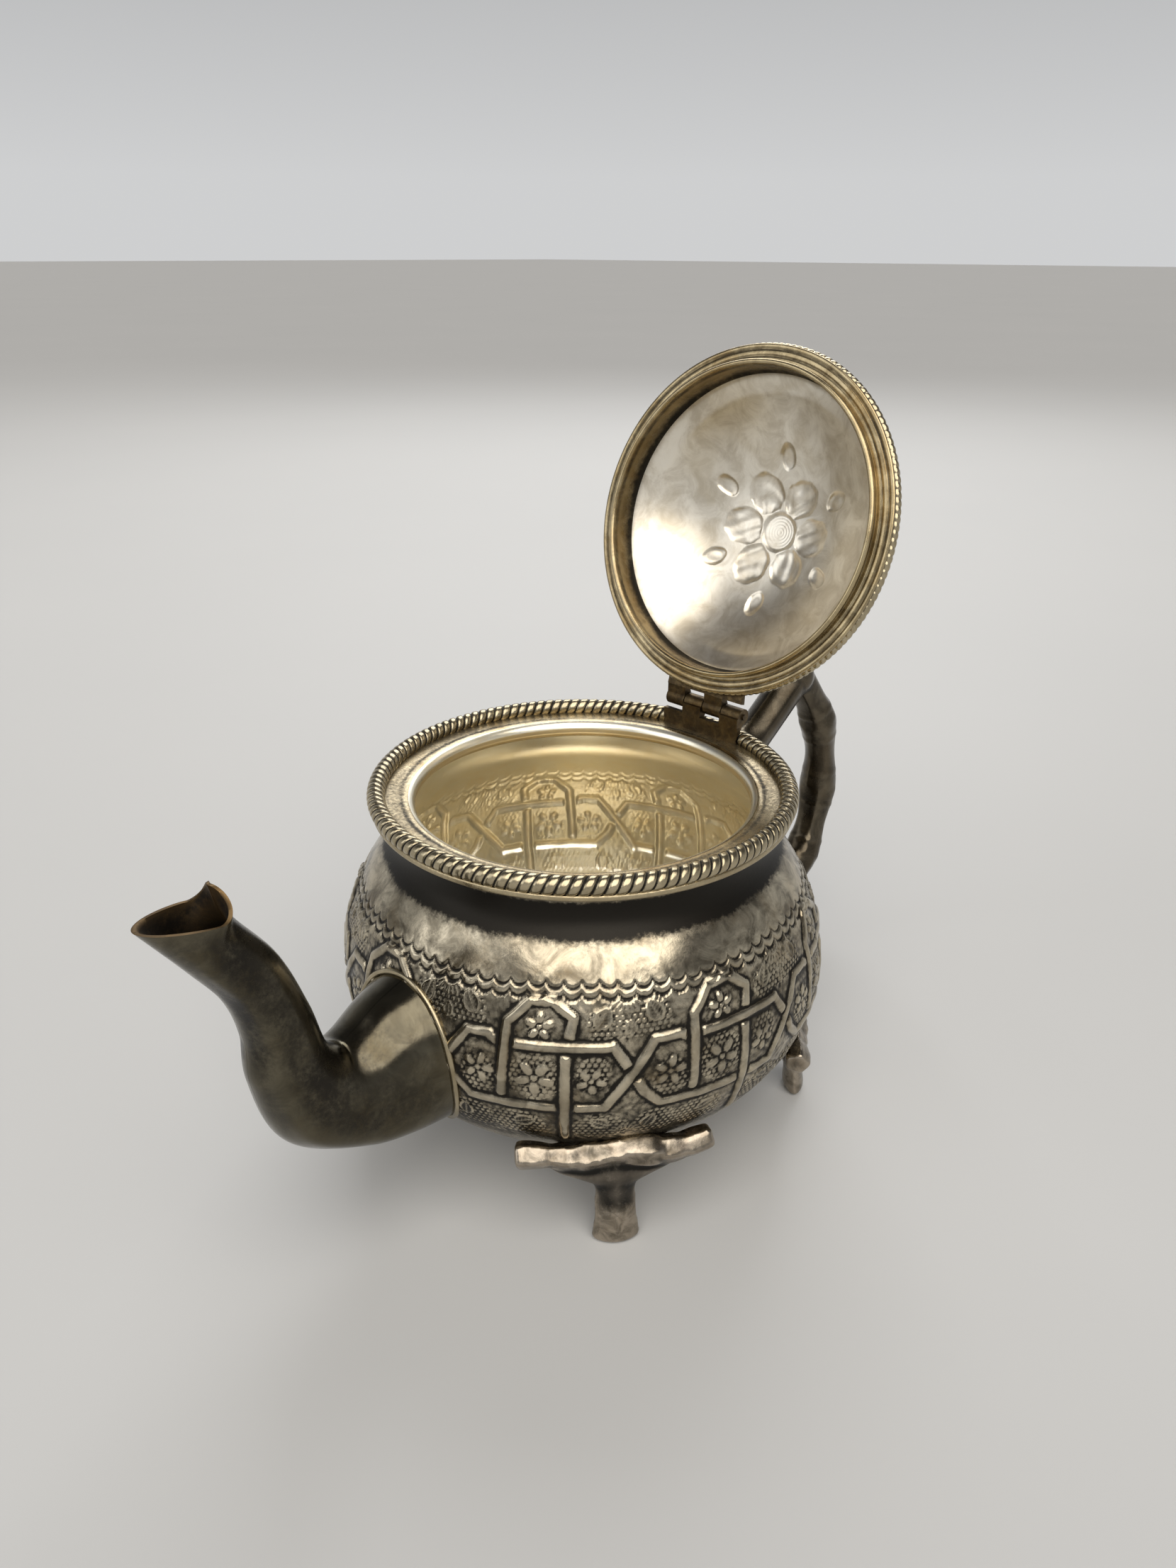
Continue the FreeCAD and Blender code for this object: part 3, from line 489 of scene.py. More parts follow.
@dataclass(frozen=True)
class WornSilver:
    """Silver plate that has darkened in its hollows and worn bright on its ridges, with the painted shade and
    highlight that its mesh's mark carries.

    Attributes:
        bright: Colour of clean metal.
        middle: Colour of clouded metal.
        dark: Colour of full tarnish, and of full painted shade.
        stain: Colour of the thin warm stain.
        tarnish: Tarnish all over, as a share.
        grime: How much the mesh's own grime, painted shade and painted highlight add.
        hollow: How much a hollow adds.
        wear: How much a ridge is worn bright.
        patch_size: Size of tarnish patches in millimetres.
        patch: How much patches add or take away.
        fleck_size: Size of flecks in millimetres.
        fleck: How much flecks add or take away.
        stained: How much of the metal is stained.
        smooth: Roughness of clean metal.
        rough: Roughness of full tarnish.
        pitted: Depth of the pitting in millimetres.
    """

    bright: Colour
    middle: Colour
    dark: Colour
    stain: Colour
    tarnish: float = 0.25
    grime: float = 0.8
    hollow: float = 0.7
    wear: float = 0.6
    patch_size: float = 16.0
    patch: float = 0.8
    fleck_size: float = 1.3
    fleck: float = 0.7
    stained: float = 0.4
    smooth: float = 0.24
    rough: float = 0.5
    pitted: float = 0.02

    def material(self, name: str) -> bpy.types.Material:
        """Build the material.

        Args:
            name: The material's name.

        Returns:
            The finished material.
        """
        board = Board(name)
        hollow = board.mark(Mark.HOLLOW)
        patches = board.noise(self.patch_size, 5.0, 0.62, 0.4) - 0.5
        flecks = board.noise(self.fleck_size, 6.0, 0.72) - 0.5
        clouds = board.noise(self.patch_size * 0.45, 6.0, 0.66, 0.8)
        grain = board.noise(self.fleck_size * 0.3, 3.0, 0.6)
        # The mesh's mark adds tarnish and painted shade alike, and takes some away where it paints a
        # highlight.
        dirt_and_shade = self.tarnish + board.mark(Mark.GRIME_AND_SHADE) * self.grime + hollow * self.hollow
        dirt_and_shade = (dirt_and_shade + patches * (2.0 * self.patch) + flecks * (2.0 * self.fleck)).between(0.0, 1.0)
        worn = (hollow * -self.wear + flecks * 0.5).held()
        clean = board.mix(clouds.between(0.35, 0.68), self.bright, self.middle)
        warm = board.mix(board.noise(self.patch_size * 0.7, 5.0, 0.6, 0.5).between(0.45, 0.72) * self.stained,
                         clean, self.stain)
        # Darken towards the dark colour for tarnish and for painted shade.
        soiled_and_shaded = board.mix(dirt_and_shade, warm, self.dark)
        board.dress(
            Base_Color=board.mix(worn * 0.85, soiled_and_shaded, self.bright),
            Metallic=1.0 - dirt_and_shade * 0.25,
            Roughness=(self.smooth + dirt_and_shade * (self.rough - self.smooth) + (grain - 0.5) * 0.12).held(),
            Normal=board.bump(flecks + grain * 0.5, self.pitted),
        )
        return board.material


POT_OUTSIDE = WornSilver(
    bright=(0.52, 0.46, 0.345), middle=(0.112, 0.096, 0.069), dark=(0.012, 0.010, 0.007),
    stain=(0.15, 0.105, 0.05), tarnish=0.39, hollow=1.1, wear=0.6, patch=0.8, fleck=0.9, stained=0.55,
    smooth=0.18, rough=0.42,
)
POT_INSIDE = WornSilver(
    bright=(0.96, 0.92, 0.79), middle=(0.94, 0.88, 0.70), dark=(0.60, 0.44, 0.18),
    stain=(0.90, 0.76, 0.48), tarnish=0.0, hollow=0.3, wear=0.5, patch=0.2, fleck=0.06, fleck_size=2.5,
    stained=0.4, smooth=0.3, rough=0.42, pitted=0.01,
)
RIM = WornSilver(
    bright=(0.52, 0.435, 0.28), middle=(0.26, 0.207, 0.125), dark=(0.024, 0.020, 0.013),
    stain=(0.27, 0.185, 0.075), tarnish=0.22, hollow=0.8, wear=0.6, patch=0.6, fleck=0.9, fleck_size=0.9,
    stained=0.7,
)
ROPE = WornSilver(
    bright=(0.45, 0.385, 0.26), middle=(0.17, 0.142, 0.09), dark=(0.014, 0.012, 0.009),
    stain=(0.19, 0.14, 0.065), tarnish=0.36, hollow=1.2, wear=0.8, patch=0.45, fleck=0.4, stained=0.5,
)
SPOUT = WornSilver(
    bright=(0.125, 0.111, 0.078), middle=(0.052, 0.046, 0.033), dark=(0.010, 0.008, 0.006),
    stain=(0.075, 0.058, 0.031), tarnish=0.34, wear=0.6, patch=0.9, fleck=0.8, stained=0.6, smooth=0.14,
    rough=0.31,
)
SPOUT_INSIDE = WornSilver(
    bright=(0.16, 0.105, 0.05), middle=(0.09, 0.06, 0.03), dark=(0.012, 0.009, 0.006),
    stain=(0.15, 0.085, 0.03), tarnish=0.45, smooth=0.5, rough=0.7,
)
HANDLE = WornSilver(
    bright=(0.125, 0.105, 0.075), middle=(0.050, 0.042, 0.030), dark=(0.008, 0.007, 0.005),
    stain=(0.065, 0.045, 0.025), tarnish=0.34, hollow=1.1, wear=0.9, patch=0.4, fleck=0.25, smooth=0.22,
    rough=0.42,
)
FOOT = WornSilver(
    bright=(0.40, 0.345, 0.275), middle=(0.115, 0.10, 0.076), dark=(0.010, 0.009, 0.007),
    stain=(0.17, 0.12, 0.07), tarnish=0.36, hollow=1.3, wear=1.0, patch=0.4, fleck=0.55, patch_size=9.0,
    smooth=0.22, rough=0.44,
)
LID_INSIDE = WornSilver(
    bright=(0.80, 0.755, 0.66), middle=(0.58, 0.525, 0.43), dark=(0.09, 0.078, 0.058),
    stain=(0.50, 0.42, 0.28), tarnish=0.0, hollow=0.6, wear=0.5, patch=0.22, fleck=0.12, stained=0.35,
    smooth=0.32, rough=0.44, pitted=0.008,
)
BEZEL = WornSilver(
    bright=(0.46, 0.375, 0.225), middle=(0.19, 0.145, 0.08), dark=(0.014, 0.011, 0.007),
    stain=(0.24, 0.15, 0.05), tarnish=0.22, hollow=0.9, patch=0.7, fleck=0.4, stained=0.7,
)
HINGE = WornSilver(
    bright=(0.19, 0.135, 0.065), middle=(0.072, 0.05, 0.027), dark=(0.012, 0.009, 0.006),
    stain=(0.13, 0.08, 0.03), tarnish=0.40, patch=0.5, fleck=0.5, stained=0.7, patch_size=6.0,
    fleck_size=0.8, smooth=0.34, rough=0.6,
)


# The pot


@dataclass
class Pot:
    """The raised bowl of the teapot.

    Attributes:
        belly_radius: The pot at its widest, from the solids.
    """

    belly_radius: float
    wall: float = 1.2
    belly_height: float = 45.0
    base_radius: float = 32.0
    base_height: float = 11.0
    shoulder_radius: float = 48.5
    shoulder_height: float = 77.0
    neck_radius: float = 46.5
    neck_height: float = 82.1
    neck_sweep: float = 7.5
    top: float = 86.8
    columns: int = 1080
    bottom_rows: int = 60
    band_low: float = 26.0
    band_high: float = 71.5
    band_step: float = 0.36
    plain_step: float = 1.4
    spout_height: float = 42.0
    spout_opening: float = 11.5

    def level_arc(self, first: Point, last: Point) -> np.ndarray:
        """Draw an arc whose centre is level with the belly."""
        across = last[0] ** 2 - first[0] ** 2
        rise = (last[1] - self.belly_height) ** 2 - (first[1] - self.belly_height) ** 2
        middle = (across + rise) / (2.0 * (last[0] - first[0]))
        return arc(first, last, (middle, self.belly_height), 1500)

    def outside(self) -> np.ndarray:
        """Draw the pot's outside as radii and heights, from the middle of its bottom up to its top."""
        base = (self.base_radius, self.base_height)
        belly = (self.belly_radius, self.belly_height)
        shoulder = (self.shoulder_radius, self.shoulder_height)
        neck = (self.neck_radius, self.neck_height)
        chord = np.array(neck) - np.array(shoulder)
        middle = (np.array(neck) + np.array(shoulder)) / 2.0
        side = np.array([-chord[1], chord[0]]) / np.linalg.norm(chord)
        rise = math.sqrt(self.neck_sweep ** 2 - (np.linalg.norm(chord) / 2.0) ** 2)
        hollow = arc(shoulder, neck, tuple(middle - side * rise))
        flat = np.linspace((0.0, self.base_height), base, self.bottom_rows)
        straight = np.linspace(neck, (self.neck_radius, self.top), 40)
        return np.concatenate([flat, self.level_arc(base, belly)[1:], self.level_arc(belly, shoulder)[1:],
                               hollow[1:], straight[1:]])

    def radius_at(self, height: np.ndarray) -> np.ndarray:
        """Return the pot's outer radius at heights; it is nought below and above the pot."""
        outline = self.outside()[self.bottom_rows:]
        return np.interp(height, outline[:, 1], outline[:, 0], left=0.0, right=0.0)

    def seat(self, points: np.ndarray, sink: float = 0.35) -> np.ndarray:
        """Push out to the pot's skin what would stick through it, and leave it sunk a little."""
        radius = np.hypot(points[..., 0], points[..., 1])
        skin = self.radius_at(points[..., 2]) - sink
        grow = np.where(radius < skin, skin / np.maximum(radius, 1e-6), 1.0)
        seated = points.copy()
        seated[..., 0] *= grow
        seated[..., 1] *= grow
        return seated

    def step(self, places: np.ndarray) -> np.ndarray:
        """Give the spacing of rows: fine in the band of ornament and coarse elsewhere."""
        inside = (places[:, 1] > self.band_low) & (places[:, 1] < self.band_high)
        return np.where(inside, self.band_step, self.plain_step)

    def build(self, ornament: "Strapwork") -> bpy.types.Object:
        """Make the bowl with its chased outside, the reverse of it inside, and the opening into the spout."""
        path = spaced(self.outside(), self.step)
        tangent = np.gradient(path, axis=0)
        normal = unit(np.stack([tangent[:, 1], -tangent[:, 0]], axis=1))
        azimuth = np.arange(self.columns) * (360.0 / self.columns)
        relief = ornament.relief_on(azimuth, path[:, 1], lengths_along(path))
        outer = self.raised(path, normal, relief)
        thinned = slice(None, None, 2)
        inner_path = path - normal * self.wall
        inner_path[:, 0] = np.maximum(inner_path[:, 0], 0.0)
        inner = self.raised(inner_path, normal, relief * ornament.show_through)[thinned][::-1]
        rows = np.concatenate([outer, inner])
        slots = (np.arange(len(rows)) >= len(outer)).astype(np.int32)
        piece = make_piece("pot_bowl", [Sheet(rows, slots=slots)], sharp=180.0)
        self.open_to_spout(piece.data)
        return weathered_and_shaded(piece, 10, 0.22, self.grime(points_of(piece.data)))

    def raised(self, path: np.ndarray, normal: np.ndarray, relief: np.ndarray) -> np.ndarray:
        """Turn an outline about Z with every point raised along the outline's normal."""
        radius = path[:, :1] + normal[:, :1] * relief
        height = path[:, 1:2] + normal[:, 1:2] * relief
        return about_axis(radius, circle(self.columns), height)

    def open_to_spout(self, mesh: bpy.types.Mesh) -> None:
        """Cut the round opening into the spout through both skins and join its edges."""
        edit = bmesh.new()
        edit.from_mesh(mesh)
        centre = self.spout_height * MM
        radius = self.spout_opening * MM

        def inside(spot: Vector) -> bool:
            return spot.x < 0.0 and math.hypot(spot.y, spot.z - centre) < radius

        doomed = [face for face in edit.faces if inside(face.calc_center_median())]
        bmesh.ops.delete(edit, geom=doomed, context="FACES")
        rims = [edge for edge in edit.edges if edge.is_boundary]
        for spot in {vert for edge in rims for vert in edge.verts}:
            away = math.hypot(spot.co.y, spot.co.z - centre)
            spot.co.y *= radius / away
            spot.co.z = centre + (spot.co.z - centre) * radius / away
        bmesh.ops.bridge_loops(edit, edges=rims)
        bmesh.ops.recalc_face_normals(edit, faces=edit.faces)
        edit.to_mesh(mesh)
        edit.free()
        mesh.update()

    def grime(self, points: np.ndarray) -> np.ndarray:
        """Return the grime and painted shade of points: tarnish and painted shade under the rim, tarnish by
        the spout, a painted dark reflection below, a painted highlight on the shoulder, and inside, darker
        towards the bottom.
        """
        height = points[:, 2]
        radius = np.hypot(points[:, 0], points[:, 1])
        outer = radius > self.radius_at(np.clip(height, self.base_height, self.top)) - self.wall * 0.8
        from_spout = np.hypot(points[:, 1], height - self.spout_height)
        # Under the rim the metal darkens: tarnish with painted shade.
        neck = smooth_step(height, 66.0, 83.0)
        # The lower belly darkens downwards: painted shade standing for a dark reflection.
        shaded_underside = smooth_step(height, 46.0, 24.0)
        by_spout = smooth_step(from_spout, 36.0, 18.0) * (points[:, 0] < 0)
        # The shoulder is lightened: a painted highlight.
        shoulder = smooth_step(height, 58.0, 68.0) * smooth_step(height, 80.0, 73.0)
        outside = 0.35 * neck + 0.4 * shaded_underside + 0.3 * by_spout - 0.22 * shoulder
        # Inside, darker towards the bottom.
        bottom = smooth_step(height, 28.0, 13.0)
        return np.where(outer, outside, 0.35 * bottom)


# The chasing on the pot


def distance_to(x: np.ndarray, y: np.ndarray, path: Sequence[Point]) -> np.ndarray:
    """Measure how far points lie from a path of straight runs."""
    least = np.full(x.shape, 1e9)
    for (x0, y0), (x1, y1) in zip(path, path[1:]):
        dx, dy = x1 - x0, y1 - y0
        share = np.clip(((x - x0) * dx + (y - y0) * dy) / (dx * dx + dy * dy), 0.0, 1.0)
        least = np.minimum(least, np.hypot(x - x0 - share * dx, y - y0 - share * dy))
    return least


def dome(squares: np.ndarray) -> np.ndarray:
    """Rise as a round top where the squared share of the radius is under one."""
    return np.sqrt(np.clip(1.0 - squares, 0.0, 1.0))


def turned_axes(x: np.ndarray, y: np.ndarray, centre: Point, angle: float) -> tuple[np.ndarray, np.ndarray]:
    """Return places along and across a direction, in degrees, from a centre."""
    cos, sin = math.cos(math.radians(angle)), math.sin(math.radians(angle))
    return (x - centre[0]) * cos + (y - centre[1]) * sin, (y - centre[1]) * cos - (x - centre[0]) * sin


@dataclass(frozen=True)
class Strap:
    """One strap of a bay.

    Attributes:
        places: Its corners, as degrees along the band and heights.
        under: Where it dips under another strap, if it does.
    """

    places: tuple[Point, ...]
    under: Union[Point, None] = None


@dataclass(frozen=True)
class Motif:
    """One flower or leaf of a bay.

    Attributes:
        place: Its middle, as degrees along the band and a height.
        size: Its half length.
        turn: How far it is turned, in degrees.
        drop: How much lower than the first it stands.
    """

    place: Point
    size: float
    turn: float = 0.0
    drop: float = 0.0


@dataclass
class Strapwork:
    """The raised interlace round the belly, its ground and the scalloped border above it.

    Places along the band are degrees from the left leg of a bay, and heights are millimetres on the pot.

    Attributes:
        repeats: How many bays go round.
        first_leg: Azimuth of one bay's left leg.
        bar_half: Half width of a strap.
        rise: Straps above the ground.
        show_through: How much of the relief shows inside.
        straps: The straps of a bay.
        flowers: Its flowers.
        leaves: Its leaves.
        beaded: Where its ground is beaded: the middle, half width and half height of each patch.
        lengths: Heights, and the lengths of the pot's outline up to them, once the relief is begun.
    """

    repeats: int = 9
    first_leg: float = -152.9
    bar_half: float = 1.3
    rise: float = 0.76
    show_through: float = 1.0
    girth: float = 59.5
    band_top: float = 70.5
    band_foot: float = 27.0
    full_height: float = 66.0
    scallops: int = 90
    scallop_top: float = 69.3
    scallop_depth: float = 1.7
    scallop_drop: float = 2.0
    bead_pitch: float = 1.35
    shake: float = 0.16
    lean: float = 5.0
    seed: int = 5
    straps: tuple[Strap, ...] = (
        Strap(((-0.6, 43.6), (0.3, 60.5), (4.8, 65.3), (10.0, 65.7), (14.2, 62.0), (12.7, 55.0),
               (12.4, 29.5)), (12.9, 56.1)),
        Strap(((-3.4, 57.0), (-1.5, 56.1), (22.6, 56.1)), (0.0, 56.1)),
        Strap(((22.6, 56.1), (25.4, 51.6), (28.6, 44.6), (32.6, 40.6)), (26.6, 49.4)),
        Strap(((-7.6, 40.6), (20.6, 40.7)), (12.7, 41.0)),
        Strap(((20.6, 40.7), (31.6, 57.0), (36.8, 57.2))),
    )
    flowers: tuple[Motif, ...] = (
        Motif((6.4, 48.4), 4.6), Motif((7.2, 60.2), 3.4, 40.0, 0.1), Motif((18.0, 48.0), 3.6, 0.0, 0.2),
        Motif((34.4, 48.6), 4.0, 20.0, 0.15),
    )
    leaves: tuple[Motif, ...] = (
        Motif((20.6, 62.2), 3.0, 65.0), Motif((31.6, 63.0), 3.0, 118.0), Motif((26.4, 60.0), 1.9, 90.0),
        Motif((4.0, 35.4), 2.8, 20.0), Motif((19.6, 35.6), 2.6, 150.0), Motif((30.4, 35.0), 2.6, 75.0),
    )
    beaded: tuple[tuple[Point, float, float], ...] = (
        ((6.4, 48.4), 6.0, 6.4), ((26.0, 61.0), 7.6, 3.6), ((20.0, 60.6), 3.6, 4.0), ((32.4, 61.6), 3.4, 4.6),
        ((20.0, 33.6), 7.0, 5.0), ((2.0, 34.0), 7.0, 5.0), ((18.6, 50.6), 4.0, 3.4), ((32.0, 34.0), 6.0, 5.0),
        ((34.6, 47.0), 4.6, 5.0),
    )
    upper_fan: Point = (25.7, 66.4)
    lower_fan: Point = (25.4, 31.0)
    lengths: tuple[np.ndarray, ...] = ()

    def relief_on(self, azimuth: np.ndarray, height: np.ndarray, along: np.ndarray) -> np.ndarray:
        """Work out the relief of the whole pot.

        Args:
            azimuth: Degrees round the pot, one for each column.
            height: Height of each row.
            along: Length of the outline up to each row.

        Returns:
            How far each point stands above the plain pot.
        """
        levels = np.arange(0.0, 100.0, 0.25)
        self.lengths = (levels, np.interp(levels, height[10:], along[10:]))
        rows = np.flatnonzero((height > self.band_foot - 4.0) & (height < self.band_top + 2.0))
        relief = np.zeros((len(height), len(azimuth)))
        band = np.full((len(rows), len(azimuth)), -1.2)
        period = 360.0 / self.repeats
        draws = np.random.default_rng(self.seed)
        for bay in range(self.repeats):
            offset = (azimuth - self.first_leg - bay * period + 180.0) % 360.0 - 180.0
            near = np.flatnonzero((offset > -0.36 * period) & (offset < 1.36 * period))
            x, y = np.meshgrid(self.mm(offset[near]), along[rows])
            band[:, near] = np.maximum(band[:, near], self.bay(x, y, draws))
        fade = smooth_step(height[rows], self.band_top + 1.0, self.full_height)
        fade *= smooth_step(height[rows], self.band_foot - 3.0, self.band_foot + 1.5)
        relief[rows] = (band + 1.0) * self.rise * fade[:, None]
        return relief + self.border(azimuth, height)

    def mm(self, degrees: Union[float, np.ndarray]) -> Union[float, np.ndarray]:
        """Turn degrees round the belly into millimetres."""
        return np.radians(degrees) * self.girth

    def up(self, height: float) -> float:
        """Turn a height into a length along the outline."""
        return float(np.interp(height, *self.lengths))

    def spot(self, degrees: float, height: float) -> Point:
        """Return a place of a bay in millimetres along and up the band."""
        return float(self.mm(degrees)), self.up(height)

    def path(self, draws: np.random.Generator, places: Sequence[Point]) -> list[Point]:
        """Lay out a strap, a little uneven as handwork is."""
        shifts = draws.normal(0.0, self.shake, (len(places), 2))
        spots = [self.spot(*place) for place in places]
        return [(x + dx, y + dy) for (x, y), (dx, dy) in zip(spots, shifts)]

    def strap(self, x: np.ndarray, y: np.ndarray, path: Sequence[Point],
              under: Union[Point, None]) -> np.ndarray:
        """Raise a strap along a path, and let it dip where it goes under another."""
        away = distance_to(x, y, path)
        worn = 0.07 * np.sin(x * 0.9 + 1.3 * np.sin(y * 0.5))
        worn = worn + 0.06 * np.sin(y * 1.1 + 1.7 * np.sin(x * 0.37))
        top = worn - 0.08 + (dome((away / self.bar_half) ** 2) ** 1.3 - 1.0)
        height = np.where(away < self.bar_half, top, NOTHING)
        if under is None:
            return height
        spot = self.spot(*under)
        cross = np.hypot(x - spot[0], y - spot[1])
        return height - 0.95 * smooth_step(cross, self.bar_half * 2.0, self.bar_half * 1.05)

    def bay(self, x: np.ndarray, y: np.ndarray, draws: np.random.Generator) -> np.ndarray:
        """Chase one bay: its arch, the strands that change places beside it, and the filling."""
        paths = [self.path(draws, strap.places) for strap in self.straps]
        straps = [self.strap(x, y, path, strap.under) for path, strap in zip(paths, self.straps)]
        edge = np.min([distance_to(x, y, path) for path in paths], axis=0)
        ground = -1.0 + 0.08 * np.sin(x * 1.9 + 2.0 * np.sin(y * 0.7)) * np.sin(y * 1.6)
        clear = smooth_step(edge, self.bar_half, self.bar_half + 0.6)
        field = np.maximum(ground, self.filling(x, y, draws)) * clear - 1.08 * (1.0 - clear)
        return np.max([field, *straps], axis=0)

    def filling(self, x: np.ndarray, y: np.ndarray, draws: np.random.Generator) -> np.ndarray:
        """Fill the cells between the straps with flowers, fans, leaves and beads, all below the straps."""
        leans = draws.normal(0.0, self.lean, 12)
        flowers = [self.flower(x, y, self.spot(*motif.place), motif.size, motif.turn + lean) - motif.drop
                   for motif, lean in zip(self.flowers, leans)]
        leaves = [self.leaf(x, y, self.spot(*motif.place), motif.size, motif.turn + lean)
                  for motif, lean in zip(self.leaves, leans[len(self.flowers):])]
        fans = [self.fan(x, y, self.spot(*self.upper_fan), 1.6, 4.2),
                self.fan(x, y, self.spot(*self.lower_fan), 1.5, 4.0, upwards=True)]
        patches = []
        for place, wide, tall in self.beaded:
            middle = self.spot(*place)
            patches.append(dome(((x - middle[0]) / wide) ** 2 + ((y - middle[1]) / tall) ** 2))
        bare = np.max([flowers[0], *leaves], axis=0) <= NOTHING + 1.0
        beads = np.where((np.max(patches, axis=0) > 0.35) & bare, self.beads(x, y), NOTHING)
        return np.max([beads, *flowers, *fans, *leaves], axis=0)

    def beads(self, x: np.ndarray, y: np.ndarray) -> np.ndarray:
        """Cover the ground with rows of round beads."""
        pitch, row = self.bead_pitch, self.bead_pitch * math.sqrt(3.0)
        near = np.full(x.shape, 9.0)
        for shift in (0.0, 0.5):
            dx = (x / pitch + shift + 0.5) % 1.0 - 0.5
            dy = (y / row + shift + 0.5) % 1.0 - 0.5
            near = np.minimum(near, np.hypot(dx * pitch, dy * row))
        return -1.0 + 0.32 * dome((near / (pitch * 0.42)) ** 2)

    def flower(self, x: np.ndarray, y: np.ndarray, centre: Point, size: float, turn: float) -> np.ndarray:
        """Raise a flower of five petals with a bead in its middle and fine stamens between them."""
        height = np.full(x.shape, NOTHING)
        for petal in range(5):
            along, across = turned_axes(x, y, centre, turn + 54.0 + 72.0 * petal)
            squares = ((along - size * 0.58) / (size * 0.4)) ** 2 + (across / (size * 0.25)) ** 2
            crease = 0.12 * np.exp(-(across / (size * 0.06)) ** 2)
            raised = -0.95 + 0.8 * dome(squares) - crease
            height = np.maximum(height, np.where(squares < 1.0, raised, NOTHING))
            along, across = turned_axes(x, y, centre, turn + 18.0 + 72.0 * petal)
            stamen = (np.abs(across) < size * 0.05) & (along > size * 0.2) & (along < size * 0.85)
            height = np.maximum(height, np.where(stamen, -0.72, NOTHING))
        middle = ((x - centre[0]) ** 2 + (y - centre[1]) ** 2) / (size * 0.17) ** 2
        return np.maximum(height, np.where(middle < 1.0, -0.7 + 0.35 * dome(middle), NOTHING))

    def fan(self, x: np.ndarray, y: np.ndarray, centre: Point, inner: float, outer: float,
            upwards: bool = False) -> np.ndarray:
        """Raise a shell of ribs that spread from a centre."""
        side = 1.0 if upwards else -1.0
        angle = np.arctan2(x - centre[0], side * (y - centre[1]))
        radius = np.hypot(x - centre[0], y - centre[1])
        shell = (radius > inner) & (radius < outer) & (np.abs(angle) < 1.15)
        swell = dome(((radius - inner) / (outer - inner)) ** 4)
        ribs = -0.95 + 0.4 * (0.5 + 0.5 * np.cos(angle * 18.0)) * swell
        return np.where(shell, ribs, NOTHING)

    def leaf(self, x: np.ndarray, y: np.ndarray, centre: Point, size: float, turn: float) -> np.ndarray:
        """Raise a pointed leaf with a rim and hatching."""
        along, across = turned_axes(x, y, centre, turn)
        share = np.clip((along + size) / (2.0 * size), 0.0, 1.0)
        width = size * 0.75 * np.sin(np.pi * share ** 0.8) + 1e-6
        edge = np.abs(across) / width
        inside = (np.abs(along) < size) & (edge < 1.0)
        hatch = 0.12 * (0.5 + 0.5 * np.cos(along * 7.5 - np.abs(across) * 4.0))
        rim = 0.38 * np.exp(-((edge - 0.82) / 0.16) ** 2)
        rib = 0.16 * np.exp(-(across / 0.22) ** 2)
        return np.where(inside, -0.85 + hatch + rim + rib, NOTHING)

    def border(self, azimuth: np.ndarray, height: np.ndarray) -> np.ndarray:
        """Punch two rows of scallops round the shoulder, the lower one with a hatched edge."""
        turn, rise = np.meshgrid((azimuth - self.first_leg) % 360.0, height)
        cell = turn * self.scallops / 360.0
        bow = dome((2.0 * (cell % 1.0) - 1.0) ** 2)
        wobble = 0.25 * np.sin(np.radians(turn) * 7.0) + 0.15 * np.sin(np.radians(turn) * 23.0)
        hatch = 0.5 + 0.5 * np.cos(cell * 2.0 * np.pi * 7.0)
        sunk = np.zeros_like(rise)
        for row in range(2):
            off = rise - (self.scallop_top - self.scallop_drop * row + wobble - self.scallop_depth * bow)
            sunk -= 0.34 * np.exp(-(off / 0.32) ** 2) * (0.6 + 0.4 * bow)
            sunk += 0.16 * np.exp(-((off + 0.75) / 0.4) ** 2)
            sunk -= 0.2 * row * hatch * smooth_step(off, -0.15, -0.35) * smooth_step(off, -1.2, -0.9)
        return np.minimum(sunk, 0.05)


# The rim


